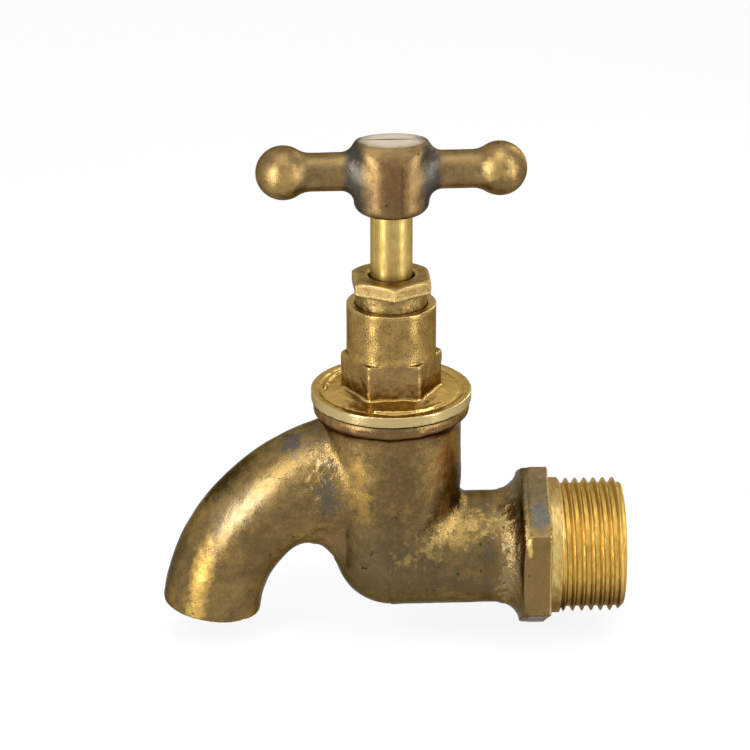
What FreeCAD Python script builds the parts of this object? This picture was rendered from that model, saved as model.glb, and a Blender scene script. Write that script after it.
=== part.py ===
# Brass bib tap with a screw-down valve, a crutch handle and a bent spout. Millimetres, +Z up.
# The origin is the centre of the inlet hexagon's outer shoulder, where the thread begins, and +X runs out
# along the inlet thread. The valve axis is upright, at x = -spindle_offset.
# Each piece is drawn about the valve axis, with heights above the inlet axis, and is then moved as a whole.
import FreeCAD
import Part
import math
import os
import re
import Sketcher
from FreeCAD import Vector

# Driving dimensions: name, value, meaning
SIZES = [
    ("spindle_offset", 30.3, "inlet shoulder to valve axis"),
    ("chamber_radius", 13.6, "outside of the valve chamber, under its flange"),
    ("chamber_base_radius", 11.4, "outside of the round chamber base"),
    ("chamber_shoulder", 15.0, "height where the chamber reaches its full radius"),
    ("body_top", 31.5, "height of the body's top face"),
    ("body_flange_thickness", 2.1, "body flange"),
    ("body_flange_cove", 1.2, "hollow curve under the body flange"),
    ("body_flange_lip", 0.15, "underside of the body flange beyond that curve"),
    ("neck_radius", 11.0, "outside of the inlet neck"),
    ("neck_fillet", 3.0, "blend between neck and chamber"),
    ("inlet_hex_width", 29.0, "inlet hexagon, across flats"),
    ("inlet_hex_thickness", 5.3, "inlet hexagon"),
    ("inlet_hex_chamfer", 1.3, "turned chamfer on the hexagon's neck side"),
    ("neck_flare", 3.2, "hollow flare from the neck to the hexagon"),
    ("thread_land_radius", 13.22, "plain land between hexagon and thread"),
    ("thread_land_length", 2.2, "length of the plain land"),
    ("thread_crest_radius", 13.0, "crests of the inlet thread"),
    ("thread_pitch", 1.814, "14 threads to the inch"),
    ("thread_groove_depth", 0.95, "depth of the thread groove"),
    ("thread_crest_width", 0.36, "flat left on a crest"),
    ("thread_root_width", 0.46, "flat at the root"),
    ("thread_length", 14.7, "shoulder to the end of the inlet"),
    ("thread_end_chamfer", 1.2, "chamfer at the end of the thread"),
    ("inlet_bore_radius", 8.75, "bore in the threaded end"),
    ("inlet_bore_depth", 19.0, "depth of the wide bore from the end"),
    ("passage_radius", 7.5, "narrower passage to the valve"),
    ("passage_end", 6.6, "valve axis to the flat blind end of that passage, under the seat"),
    ("partition_top", 9.5, "height of the floor above the partition"),
    ("seat_bore_radius", 6.35, "opening through the seat"),
    ("seat_rim_width", 1.7, "width of the raised seat rim"),
    ("seat_height", 10.5, "height of the seat face"),
    ("upper_cavity_radius", 10.8, "space above the partition"),
    ("spout_root_x", -9.53, "valve axis to the point where the spout's centreline leaves the chamber"),
    ("spout_root_height", 15.91, "height of that point"),
    ("spout_bend_radius", 29.7, "centreline of the spout"),
    ("spout_root_angle", 98.0, "where the bend leaves the chamber, in degrees from +X"),
    ("spout_mouth_angle", 171.5, "where the bend ends, in degrees from +X"),
    ("spout_mouth_run", 2.2, "straight run from the bend to the mouth"),
    ("spout_mouth_radius", 9.5, "outside of the mouth"),
    ("spout_middle_radius", 9.7, "outside at the middle of the bend"),
    ("spout_root_radius", 12.0, "outside where the spout leaves the chamber"),
    ("spout_wall", 2.3, "wall of the spout"),
    ("spout_throat_radius", 7.1, "passage between the middle of the bend and the chamber"),
    ("spout_entry_radius", 6.2, "passage where it enters the chamber"),
    ("spout_entry_rise", 1.1, "rise of the passage above the bend's centreline there"),
    ("mouth_bore_radius", 7.5, "machined bore in the mouth"),
    ("mouth_bore_depth", 3.0, "depth of the machined bore"),
    ("bonnet_washer_thickness", 0.5, "fibre washer between body and bonnet"),
    ("bonnet_thread_radius", 11.45, "screw thread of the bonnet"),
    ("bonnet_skirt_length", 8.8, "bonnet below its flange"),
    ("bonnet_flange_radius", 15.4, "outside of the bonnet flange"),
    ("bonnet_flange_thickness", 1.9, "bonnet flange"),
    ("bonnet_foot_radius", 11.2, "cone between flange and hexagon, at its foot"),
    ("bonnet_foot_height", 1.5, "height of that cone"),
    ("bonnet_hex_width", 17.0, "bonnet hexagon, across flats"),
    ("bonnet_hex_turn", 1.0, "turn of the bonnet hexagon in degrees"),
    ("bonnet_hex_height", 7.5, "flange top to the hexagon's ledges"),
    ("barrel_radius", 8.55, "round barrel above the hexagon"),
    ("barrel_top", 51.5, "height of the barrel's rim"),
    ("rib_inner_radius", 12.1, "raised ribs on the bonnet flange, inside"),
    ("rib_width", 1.0, "width of a rib"),
    ("rib_height", 0.35, "height of a rib"),
    ("rib_angle", 68.0, "sweep of a rib in degrees"),
    ("front_rib_direction", -74.0, "middle of the front rib, in degrees from +X"),
    ("back_rib_direction", 146.0, "middle of the back rib, in degrees from +X"),
    ("stuffing_box_radius", 6.9, "bore of the stuffing box"),
    ("stuffing_box_floor", 39.5, "height of the stuffing box floor"),
    ("spindle_radius", 4.0, "plain stem of the spindle"),
    ("spindle_thread_radius", 6.0, "threaded part of the spindle"),
    ("spindle_thread_length", 13.5, "length of the threaded part"),
    ("valve_lift", 6.6, "rise from shut to fully open"),
    ("stop_margin", 0.7, "play left above the spindle thread when fully open"),
    ("packing_thickness", 2.0, "one packing ring"),
    ("follower_thickness", 1.0, "follower ring on the packing"),
    ("gland_hex_width", 14.4, "gland nut, across flats"),
    ("gland_hex_thickness", 1.9, "gland nut hexagon"),
    ("gland_hex_height", 3.3, "barrel rim to the underside of the gland hexagon"),
    ("gland_hex_turn", 32.5, "turn of the gland hexagon in degrees"),
    ("gland_hex_chamfer", 0.9, "drop of the turned chamfer on the gland hexagon's corners"),
    ("gland_countersink", 0.6, "countersink round the gland nut's hole"),
    ("gland_hole_radius", 4.6, "hole in the gland nut"),
    ("disc_radius", 8.2, "jumper disc"),
    ("disc_thickness", 2.0, "jumper disc"),
    ("tap_washer_radius", 8.0, "rubber tap washer"),
    ("tap_washer_thickness", 3.0, "rubber tap washer"),
    ("spigot_radius", 3.0, "jumper spigot inside the spindle"),
    ("spigot_length", 11.0, "jumper spigot above the disc"),
    ("spigot_chamfer", 0.6, "chamfer at the end of the spigot"),
    ("spigot_bore_cone", 1.5, "height of the cone that a drill leaves above the spigot"),
    ("stud_radius", 1.5, "jumper stud under the disc"),
    ("plate_radius", 5.2, "plate under the tap washer"),
    ("plate_thickness", 0.8, "plate under the tap washer"),
    ("washer_nut_width", 5.5, "nut on the stud, across flats"),
    ("washer_nut_thickness", 2.4, "nut on the stud"),
    ("stud_projection", 0.6, "stud below the nut"),
    ("hub_base", 69.9, "height of the underside of the handle's hub"),
    ("hub_radius", 7.1, "outside of the hub"),
    ("hub_height", 14.0, "height of the hub"),
    ("hub_top_round", 0.8, "rounding of the hub's top edge"),
    ("hub_base_round", 1.8, "rounding of the hub's bottom edge"),
    ("hub_barrel_radius", 7.19, "level barrel, along the arms, that the top of the hub is rounded to"),
    ("arm_rise", 7.9, "underside of the hub to the arms' axis"),
    ("arm_radius", 3.95, "outside of the arms"),
    ("arm_fillet", 2.5, "blend between arm and hub"),
    ("ball_radius", 5.15, "ball ends of the arms"),
    ("handle_reach", 25.5, "valve axis to the tip of a ball end"),
    ("handle_turn", 1.5, "turn of the handle and spindle in degrees, as photographed"),
    ("tang_width", 5.6, "square top of the spindle"),
    ("tang_length", 9.6, "square top of the spindle"),
    ("socket_relief", 0.6, "space above the square in the handle's socket"),
    ("grub_screw_radius", 2.0, "grub screw at the back of the hub"),
    ("grub_slot_width", 0.7, "slot of the grub screw"),
    ("grub_slot_depth", 0.8, "slot of the grub screw"),
    ("fit_clearance", 0.1, "gap between screwed and sliding faces"),
    ("edge_break", 0.3, "small chamfer on turned edges"),
]

doc = FreeCAD.newDocument("bib_tap")
sheet = doc.addObject("Spreadsheet::Sheet", "Sizes")
for row, (alias, value, meaning) in enumerate(SIZES, start=1):
    sheet.set(f"A{row}", meaning)
    sheet.set(f"B{row}", str(value))
    sheet.setAlias(f"B{row}", alias)
doc.recompute()
ALIASES = re.compile(r"\b(" + "|".join(alias for alias, value, meaning in SIZES) + r")\b")

# Rings of packing in the stuffing box
PACKING_RINGS = 3

# Steps of the spout's bend, from its root to its mouth
SPOUT_STEPS = 6

# Heights and radii that follow from the driving dimensions
BONNET_BASE = "(body_top + bonnet_washer_thickness)"
BONNET_SKIRT_END = f"({BONNET_BASE} - bonnet_skirt_length)"
FLANGE_TOP = f"({BONNET_BASE} + bonnet_flange_thickness)"
BONNET_HEX_CORNER = "(bonnet_hex_width / sqrt(3))"
DISC_BASE = "(seat_height + tap_washer_thickness)"
DISC_TOP = f"({DISC_BASE} + disc_thickness)"
SPIGOT_TOP = f"({DISC_TOP} + spigot_length)"
THREAD_TOP = f"({DISC_TOP} + spindle_thread_length)"
SCREW_BORE_TOP = f"({THREAD_TOP} + valve_lift + stop_margin)"
SEAT_RIM_RADIUS = "(seat_bore_radius + seat_rim_width)"
FOLLOWER_BASE = f"(stuffing_box_floor + {PACKING_RINGS} * packing_thickness)"
GLAND_BASE = f"({FOLLOWER_BASE} + follower_thickness)"
GLAND_HEX_BASE = "(barrel_top + gland_hex_height)"
GLAND_TOP = f"({GLAND_HEX_BASE} + gland_hex_thickness)"
GLAND_SHANK_RADIUS = "(stuffing_box_radius - fit_clearance)"
PACKING_HOLE_RADIUS = "(spindle_radius + fit_clearance)"
HUB_TOP = "(hub_base + hub_height)"
ARM_HEIGHT = "(hub_base + arm_rise)"
BODY_FLANGE_RADIUS = "(chamber_radius + body_flange_cove + body_flange_lip)"
SPOUT_CENTRE_X = "(spout_root_x - spout_bend_radius * cos(spout_root_angle * 1deg))"
SPOUT_CENTRE_HEIGHT = "(spout_root_height - spout_bend_radius * sin(spout_root_angle * 1deg))"
INLET_END = "(spindle_offset + thread_length)"
HEX_BACK = "(spindle_offset - inlet_hex_thickness)"
INLET_HEX_CORNER = "(inlet_hex_width / sqrt(3))"


def bind(text):
    """Point each size's name in an expression at its cell of the sheet."""
    return ALIASES.sub(r"Sizes.\1", str(text))


def measure(text):
    """Value of an expression of sizes, as a plain number."""
    value = sheet.evalExpression(bind(text))
    return float(getattr(value, "Value", value))


def new_body(name, turned="0"):
    """A body whose label names the piece, moved as a whole onto the valve axis and turned about it."""
    body = doc.addObject("PartDesign::Body", name)
    body.Label = name
    body.setExpression("Placement.Base.x", bind("-spindle_offset"))
    body.setExpression("Placement.Rotation.Angle", bind(turned))
    return body


def new_sketch(body, name, plane, offset="0", swing="0"):
    """A sketch on one of the body's origin planes, moved along its normal and swung about its own Y."""
    support = next(item for item in body.Origin.OriginFeatures if item.Role == plane)
    sketch = body.newObject("Sketcher::SketchObject", f"{body.Name}_{name}")
    sketch.AttachmentSupport = [(support, "")]
    sketch.MapMode = "FlatFace"
    if offset != "0":
        sketch.setExpression("AttachmentOffset.Base.z", bind(offset))
    if swing != "0":
        sketch.setExpression("AttachmentOffset.Rotation.Axis.y", "1")
        sketch.setExpression("AttachmentOffset.Rotation.Axis.z", "0")
        sketch.setExpression("AttachmentOffset.Rotation.Angle", bind(swing))
    doc.recompute()
    return sketch


def arc_between(start, end, radius):
    """Arc from start to end, turning left for a positive radius and right for a negative one."""
    chord = end - start
    middle = (start + end) * 0.5
    reach = math.sqrt(max(radius * radius - (chord.Length / 2) ** 2, 0.0))
    left = Vector(-chord.y, chord.x, 0).normalize()
    centre = middle + left * math.copysign(reach, radius)
    first, last = (start, end) if radius > 0 else (end, start)
    from_angle = math.atan2(first.y - centre.y, first.x - centre.x)
    to_angle = math.atan2(last.y - centre.y, last.x - centre.x)
    return Part.ArcOfCircle(Part.Circle(centre, Vector(0, 0, 1), abs(radius)), from_angle, to_angle)


def pin_point(sketch, shape, end, across, up):
    """Hold one end of a line or arc at two expressions of sizes."""
    for kind, axis, text in (("DistanceX", -2, across), ("DistanceY", -1, up)):
        if text == "0":
            sketch.addConstraint(Sketcher.Constraint("PointOnObject", shape, end, axis))
            continue
        index = sketch.addConstraint(Sketcher.Constraint(kind, -1, 1, shape, end, measure(text)))
        sketch.setExpression(f"Constraints[{index}]", bind(text))


def outline(sketch, corners):
    """Closed outline through the corners. A third entry is the radius of the arc that leads to its corner."""
    points = [Vector(measure(corner[0]), measure(corner[1]), 0) for corner in corners]
    starts = []
    ends = []
    for index, corner in enumerate(corners):
        before, here = points[index - 1], points[index]
        if len(corner) == 2:
            shape = sketch.addGeometry(Part.LineSegment(before, here), False)
            starts.append((shape, 1))
            ends.append((shape, 2))
            continue
        radius = measure(corner[2])
        shape = sketch.addGeometry(arc_between(before, here, radius), False)
        starts.append((shape, 1 if radius > 0 else 2))
        ends.append((shape, 2 if radius > 0 else 1))
        rounded = sketch.addConstraint(Sketcher.Constraint("Radius", shape, abs(radius)))
        sketch.setExpression(f"Constraints[{rounded}]", bind(f"abs({corner[2]})"))
    for index, corner in enumerate(corners):
        following = starts[(index + 1) % len(corners)]
        sketch.addConstraint(Sketcher.Constraint("Coincident", *ends[index], *following))
        pin_point(sketch, *ends[index], corner[0], corner[1])


def circle(sketch, radius, across="0", up="0"):
    """A circle held at its centre and radius."""
    centre = Vector(measure(across), measure(up), 0)
    shape = sketch.addGeometry(Part.Circle(centre, Vector(0, 0, 1), measure(radius)), False)
    pin_point(sketch, shape, 3, across, up)
    index = sketch.addConstraint(Sketcher.Constraint("Radius", shape, measure(radius)))
    sketch.setExpression(f"Constraints[{index}]", bind(radius))


def polygon(sketch, corner_radius, sides=6, first_angle=0.0):
    """A regular polygon about the sketch's origin."""
    corners = []
    for side in range(sides):
        angle = math.radians(first_angle + 360.0 * side / sides)
        across, up = math.cos(angle), math.sin(angle)
        corners.append((f"{corner_radius} * {across:.9f}", f"{corner_radius} * {up:.9f}"))
    outline(sketch, corners)


def feature(body, kind, name, sketch):
    """A feature of the body that takes its outline from the sketch."""
    item = body.newObject(f"PartDesign::{kind}", f"{body.Name}_{name}")
    item.Profile = sketch
    return item


def turn(body, name, corners, kind="Revolution", axis="V_Axis", swing="0"):
    """Turn an outline of (radius, height) corners about the valve axis, or about another sketch axis."""
    sketch = new_sketch(body, f"{name}_outline", "XZ_Plane", swing=swing)
    outline(sketch, corners)
    item = feature(body, kind, name, sketch)
    item.ReferenceAxis = (sketch, [axis])
    item.Angle = 360
    doc.recompute()
    return item


def pad(body, name, sketch, length, kind="Pad", reverse=False):
    """Pad or pocket the sketch by a length."""
    item = feature(body, kind, name, sketch)
    item.setExpression("Length", bind(length))
    item.Reversed = reverse
    doc.recompute()
    return item


# Slack on the boxes of the edges that are picked, in millimetres
BOX_SLACK = 0.01


def edges_where(item, test):
    """Names of the edges of a feature's shape whose box passes the test."""
    return [f"Edge{number}" for number, edge in enumerate(item.Shape.Edges, start=1) if test(edge.BoundBox)]


def dress(body, kind, name, base, edges, size_property, size):
    """Fillet or chamfer the named edges of the base feature."""
    item = body.newObject(f"PartDesign::{kind}", f"{body.Name}_{name}")
    item.Base = (base, edges)
    item.setExpression(size_property, bind(size))
    doc.recompute()
    return item


def ring(name, inner, outer, base, top):
    """A plain ring between two radii and two heights."""
    body = new_body(name)
    turn(body, "ring", [(inner, base), (outer, base), (outer, top), (inner, top)])
    return body


# Body casting: chamber, neck, spout, inlet hexagon and thread, then the waterway

def spout_section(body, name, angle, radius, rise="0", run="0"):
    """A circle square to the spout's centreline, at an angle of its bend and a run straight on from there."""
    sketch = new_sketch(body, name, "YZ_Plane")
    cosine = f"cos({angle} * 1deg)"
    sine = f"sin({angle} * 1deg)"
    across = f"{SPOUT_CENTRE_X} + spout_bend_radius * {cosine} - {run} * {sine}"
    up = f"{SPOUT_CENTRE_HEIGHT} + spout_bend_radius * {sine} + {run} * {cosine} + {rise}"
    sketch.setExpression("AttachmentOffset.Base.z", bind(across))
    sketch.setExpression("AttachmentOffset.Base.y", bind(up))
    sketch.setExpression("AttachmentOffset.Rotation.Axis.x", "1")
    sketch.setExpression("AttachmentOffset.Rotation.Axis.y", "0")
    sketch.setExpression("AttachmentOffset.Rotation.Axis.z", "0")
    sketch.setExpression("AttachmentOffset.Rotation.Angle", bind(f"90 - ({angle})"))
    circle(sketch, radius)
    doc.recompute()
    return sketch


# Sections of the spout's outside: step of the bend, radius. It grows from the middle of the bend to the root,
# and the section before the root is buried in the chamber.
SPOUT_GROWTH = "(spout_root_radius - spout_middle_radius)"
SPOUT_SECTIONS = [
    (6, "spout_mouth_radius"),
    (5, "spout_mouth_radius"),
    (4, "(spout_mouth_radius + spout_middle_radius) / 2"),
    (3, "spout_middle_radius"),
    (2, f"spout_middle_radius + {SPOUT_GROWTH} / 4"),
    (1, f"spout_middle_radius + {SPOUT_GROWTH} * 3 / 5"),
    (0, "spout_root_radius"),
    (-1, "spout_root_radius"),
]

# Sections of the passage inside it: step of the bend, radius. It enters the chamber above the partition.
PASSAGE_SECTIONS = [
    (6, "spout_mouth_radius - spout_wall"),
    (5, "spout_mouth_radius - spout_wall"),
    (3, "spout_middle_radius - spout_wall"),
    (1.5, "spout_throat_radius"),
    (0, "spout_entry_radius"),
]


def spout_loft(body, name, kind, sections, root_rise="0"):
    """Loft through circles along the bend, from the mouth at the end of its straight run."""
    mouth_radius = sections[0][1]
    mouth = spout_section(body, f"{name}_mouth", "spout_mouth_angle", mouth_radius, run="spout_mouth_run")
    sketches = [mouth]
    for number, (step, radius) in enumerate(sections):
        angle = f"(spout_root_angle + (spout_mouth_angle - spout_root_angle) * {step} / {SPOUT_STEPS})"
        rise = root_rise if step == 0 else "0"
        sketches.append(spout_section(body, f"{name}_{number}", angle, radius, rise))
    item = feature(body, kind, name, sketches[0])
    item.Sections = sketches[1:]
    item.Ruled = False
    doc.recompute()
    return item


def make_casting(body):
    """Outside of the casting, with the neck blended into the chamber."""
    cove_base = "body_top - body_flange_thickness - body_flange_cove"
    turn(body, "chamber", [
        ("0", "-chamber_base_radius"),
        ("chamber_base_radius", "0", "chamber_base_radius"),
        ("chamber_radius", "chamber_shoulder"),
        ("chamber_radius", cove_base),
        ("chamber_radius + body_flange_cove", "body_top - body_flange_thickness", "-body_flange_cove"),
        (BODY_FLANGE_RADIUS, "body_top - body_flange_thickness"),
        (BODY_FLANGE_RADIUS, "body_top"),
        ("0", "body_top"),
    ])
    neck_sketch = new_sketch(body, "neck_outline", "YZ_Plane")
    circle(neck_sketch, "neck_radius")
    neck = pad(body, "neck", neck_sketch, "spindle_offset")
    joint = edges_where(neck, lambda box: box.XMin > BOX_SLACK and box.YLength > measure("neck_radius / 2")
                        and box.XMax < measure("chamber_radius") and box.ZMax < measure("chamber_shoulder"))
    dress(body, "Fillet", "neck_blend", neck, joint, "Radius", "neck_fillet")
    spout_loft(body, "spout", "AdditiveLoft", SPOUT_SECTIONS)


def make_inlet(body):
    """Inlet hexagon with its turned chamfer, the plain land and the screw thread."""
    turn(body, "neck_flare", [
        (f"{HEX_BACK} - neck_flare", "0"),
        (f"{HEX_BACK} - neck_flare", "neck_radius"),
        (HEX_BACK, "neck_radius + neck_flare", "neck_flare"),
        (f"{HEX_BACK} + inlet_hex_chamfer", "neck_radius + neck_flare"),
        (f"{HEX_BACK} + inlet_hex_chamfer", "0"),
    ], axis="H_Axis")
    hex_sketch = new_sketch(body, "hex_outline", "YZ_Plane", HEX_BACK)
    polygon(hex_sketch, INLET_HEX_CORNER, first_angle=90.0)
    pad(body, "inlet_hex", hex_sketch, "inlet_hex_thickness")
    turn(body, "hex_chamfer", [
        (HEX_BACK, "inlet_hex_width / 2"),
        (f"{HEX_BACK} + inlet_hex_chamfer", INLET_HEX_CORNER),
        (f"{HEX_BACK} + inlet_hex_chamfer", f"{INLET_HEX_CORNER} + edge_break"),
        (HEX_BACK, f"{INLET_HEX_CORNER} + edge_break"),
    ], kind="Groove", axis="H_Axis")
    land_end = "(spindle_offset + thread_land_length)"
    turn(body, "thread_blank", [
        ("spindle_offset", "0"),
        ("spindle_offset", "thread_land_radius"),
        (land_end, "thread_land_radius"),
        (land_end, "thread_crest_radius"),
        (f"{INLET_END} - thread_end_chamfer", "thread_crest_radius"),
        (INLET_END, "thread_crest_radius - thread_end_chamfer"),
        (INLET_END, "0"),
    ], axis="H_Axis")


def make_waterway(body):
    """Space above the partition, seat, inlet bore to its blind end, and passage through the spout."""
    thread_bore = "bonnet_thread_radius + fit_clearance"
    turn(body, "valve_space", [
        ("0", "0"),
        ("seat_bore_radius", "0"),
        ("seat_bore_radius", "seat_height"),
        (SEAT_RIM_RADIUS, "seat_height"),
        (SEAT_RIM_RADIUS, "partition_top"),
        ("upper_cavity_radius", "partition_top"),
        ("upper_cavity_radius", f"{BONNET_SKIRT_END} - edge_break"),
        (thread_bore, f"{BONNET_SKIRT_END} - edge_break"),
        (thread_bore, "body_top"),
        ("0", "body_top"),
    ], kind="Groove")
    bore_end = f"{INLET_END} - inlet_bore_depth"
    turn(body, "inlet_bore", [
        ("-passage_end", "0"),
        ("-passage_end", "passage_radius"),
        (f"{bore_end} - (inlet_bore_radius - passage_radius)", "passage_radius"),
        (bore_end, "inlet_bore_radius"),
        (INLET_END, "inlet_bore_radius"),
        (INLET_END, "0"),
    ], kind="Groove", axis="H_Axis")
    spout_loft(body, "passage", "SubtractiveLoft", PASSAGE_SECTIONS, "spout_entry_rise")
    mouth = spout_section(body, "mouth_bore_outline", "spout_mouth_angle", "mouth_bore_radius",
                          run="spout_mouth_run")
    pad(body, "mouth_bore", mouth, "mouth_bore_depth", kind="Pocket", reverse=True)


def make_thread_groove(body):
    """The right-hand groove of the inlet thread, which runs out past the end."""
    groove = new_sketch(body, "groove_outline", "XZ_Plane")
    centre = "spindle_offset + thread_land_length + thread_pitch / 3"
    outside = "thread_crest_radius + edge_break"
    root = "thread_crest_radius - thread_groove_depth"
    flank = "(thread_pitch - thread_crest_width - thread_root_width) / 2"
    spread = f"(thread_root_width / 2 + ({flank}) * (1 + edge_break / thread_groove_depth))"
    outline(groove, [
        (f"{centre} - thread_root_width / 2", root),
        (f"{centre} + thread_root_width / 2", root),
        (f"{centre} + {spread}", outside),
        (f"{centre} - {spread}", outside),
    ])
    helix = body.newObject("PartDesign::SubtractiveHelix", "tap_body_thread")
    helix.Profile = groove
    helix.ReferenceAxis = (groove, ["H_Axis"])
    helix.Mode = "pitch-height-angle"
    helix.setExpression("Pitch", bind("thread_pitch"))
    helix.setExpression("Height", bind("thread_length - thread_land_length + thread_pitch"))
    helix.LeftHanded = False
    helix.Reversed = False
    doc.recompute()


def make_tap_body():
    body = new_body("tap_body")
    make_casting(body)
    make_inlet(body)
    make_waterway(body)
    make_thread_groove(body)


# Headwork: the bonnet screwed into the body, its packing and its gland nut

def hexagon(body, name, corner_radius, base, height, turned="0"):
    """A hexagonal pad about the valve axis, a corner to +X, turned on from there by an angle."""
    sketch = new_sketch(body, f"{name}_outline", "XY_Plane", base)
    sketch.setExpression("AttachmentOffset.Rotation.Angle", bind(turned))
    polygon(sketch, corner_radius)
    return pad(body, name, sketch, height)


def make_bonnet():
    body = new_body("bonnet")
    foot_top = f"{FLANGE_TOP} + bonnet_foot_height"
    turn(body, "blank", [
        ("0", BONNET_SKIRT_END),
        ("bonnet_thread_radius - edge_break", BONNET_SKIRT_END),
        ("bonnet_thread_radius", f"{BONNET_SKIRT_END} + edge_break"),
        ("bonnet_thread_radius", BONNET_BASE),
        ("bonnet_flange_radius", BONNET_BASE),
        ("bonnet_flange_radius", f"{FLANGE_TOP} - edge_break"),
        ("bonnet_flange_radius - edge_break", FLANGE_TOP),
        ("bonnet_foot_radius", FLANGE_TOP),
        (BONNET_HEX_CORNER, foot_top),
        ("barrel_radius", foot_top),
        ("barrel_radius", "barrel_top - edge_break"),
        ("barrel_radius - edge_break", "barrel_top"),
        ("0", "barrel_top"),
    ])
    hexagon(body, "hex", BONNET_HEX_CORNER, FLANGE_TOP, "bonnet_hex_height", "bonnet_hex_turn")
    for name in ("front_rib", "back_rib"):
        rib = turn(body, name, [
            ("rib_inner_radius", f"{FLANGE_TOP} - edge_break"),
            ("rib_inner_radius + rib_width", f"{FLANGE_TOP} - edge_break"),
            ("rib_inner_radius + rib_width", f"{FLANGE_TOP} + rib_height"),
            ("rib_inner_radius", f"{FLANGE_TOP} + rib_height"),
        ], swing=f"{name}_direction")
        rib.setExpression("Angle", bind("rib_angle"))
        rib.Midplane = True
    turn(body, "bore", [
        ("0", BONNET_SKIRT_END),
        ("spindle_thread_radius + fit_clearance", BONNET_SKIRT_END),
        ("spindle_thread_radius + fit_clearance", SCREW_BORE_TOP),
        (PACKING_HOLE_RADIUS, SCREW_BORE_TOP),
        (PACKING_HOLE_RADIUS, "stuffing_box_floor"),
        ("stuffing_box_radius", "stuffing_box_floor"),
        ("stuffing_box_radius", "barrel_top"),
        ("0", "barrel_top"),
    ], kind="Groove")


def make_gland_nut():
    body = new_body("gland_nut")
    corner = "(gland_hex_width / sqrt(3))"
    turn(body, "shank", [
        ("0", GLAND_BASE),
        (GLAND_SHANK_RADIUS, GLAND_BASE),
        (GLAND_SHANK_RADIUS, GLAND_HEX_BASE),
        ("0", GLAND_HEX_BASE),
    ])
    hexagon(body, "hex", corner, GLAND_HEX_BASE, "gland_hex_thickness", "gland_hex_turn")
    turn(body, "hex_chamfer", [
        ("gland_hex_width / 2", GLAND_TOP),
        (f"{corner} + edge_break", f"{GLAND_TOP} - gland_hex_chamfer"),
        (f"{corner} + edge_break", GLAND_TOP),
    ], kind="Groove")
    turn(body, "bore", [
        ("0", GLAND_BASE),
        ("gland_hole_radius", GLAND_BASE),
        ("gland_hole_radius", f"{GLAND_TOP} - gland_countersink"),
        ("gland_hole_radius + gland_countersink", GLAND_TOP),
        ("0", GLAND_TOP),
    ], kind="Groove")


def make_packing():
    """Flat washer under the bonnet, the packing rings and the follower that the gland nut presses on."""
    ring("bonnet_washer", "bonnet_thread_radius + fit_clearance", f"{BODY_FLANGE_RADIUS} - fit_clearance",
         "body_top", BONNET_BASE)
    outside = "stuffing_box_radius - fit_clearance"
    for number in range(PACKING_RINGS):
        base = f"stuffing_box_floor + {number} * packing_thickness"
        ring(f"packing_ring_{number + 1}", PACKING_HOLE_RADIUS, outside, base, f"{base} + packing_thickness")
    ring("gland_follower", PACKING_HOLE_RADIUS, outside, FOLLOWER_BASE, GLAND_BASE)


# Valve: the jumper with its washer, plate and nut, and the spindle that presses it down

def make_jumper():
    body = new_body("jumper_valve")
    stud_end = "seat_height - plate_thickness - washer_nut_thickness - stud_projection"
    turn(body, "blank", [
        ("0", stud_end),
        ("stud_radius", stud_end),
        ("stud_radius", DISC_BASE),
        ("disc_radius", DISC_BASE),
        ("disc_radius", f"{DISC_TOP} - edge_break"),
        ("disc_radius - edge_break", DISC_TOP),
        ("spigot_radius", DISC_TOP),
        ("spigot_radius", f"{SPIGOT_TOP} - spigot_chamfer"),
        ("spigot_radius - spigot_chamfer", SPIGOT_TOP),
        ("0", SPIGOT_TOP),
    ])


def make_washers():
    stud_hole = "stud_radius + fit_clearance"
    plate_base = "(seat_height - plate_thickness)"
    nut_base = f"({plate_base} - washer_nut_thickness)"
    ring("tap_washer", stud_hole, "tap_washer_radius", "seat_height", DISC_BASE)
    ring("washer_plate", stud_hole, "plate_radius", plate_base, "seat_height")
    nut = new_body("washer_nut")
    hexagon(nut, "hex", "(washer_nut_width / sqrt(3))", nut_base, "washer_nut_thickness")
    turn(nut, "hole", [
        ("0", nut_base),
        (stud_hole, nut_base),
        (stud_hole, plate_base),
        ("0", plate_base),
    ], kind="Groove")


def make_spindle():
    body = new_body("spindle", "handle_turn")
    turn(body, "blank", [
        ("0", DISC_TOP),
        ("spindle_thread_radius - edge_break", DISC_TOP),
        ("spindle_thread_radius", f"{DISC_TOP} + edge_break"),
        ("spindle_thread_radius", f"{THREAD_TOP} - edge_break"),
        ("spindle_thread_radius - edge_break", THREAD_TOP),
        ("spindle_radius", THREAD_TOP),
        ("spindle_radius", "hub_base"),
        ("0", "hub_base"),
    ])
    tang = new_sketch(body, "tang_outline", "XY_Plane", "hub_base")
    polygon(tang, "(tang_width / sqrt(2))", sides=4, first_angle=45.0)
    pad(body, "tang", tang, "tang_length")
    spigot_bore = "spigot_radius + fit_clearance"
    turn(body, "spigot_bore", [
        ("0", DISC_TOP),
        (spigot_bore, DISC_TOP),
        (spigot_bore, f"{SPIGOT_TOP} + edge_break"),
        ("0", f"{SPIGOT_TOP} + edge_break + spigot_bore_cone"),
    ], kind="Groove")


# Crutch handle with its two ball-ended arms, and the grub screw that holds it on the spindle's square

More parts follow.
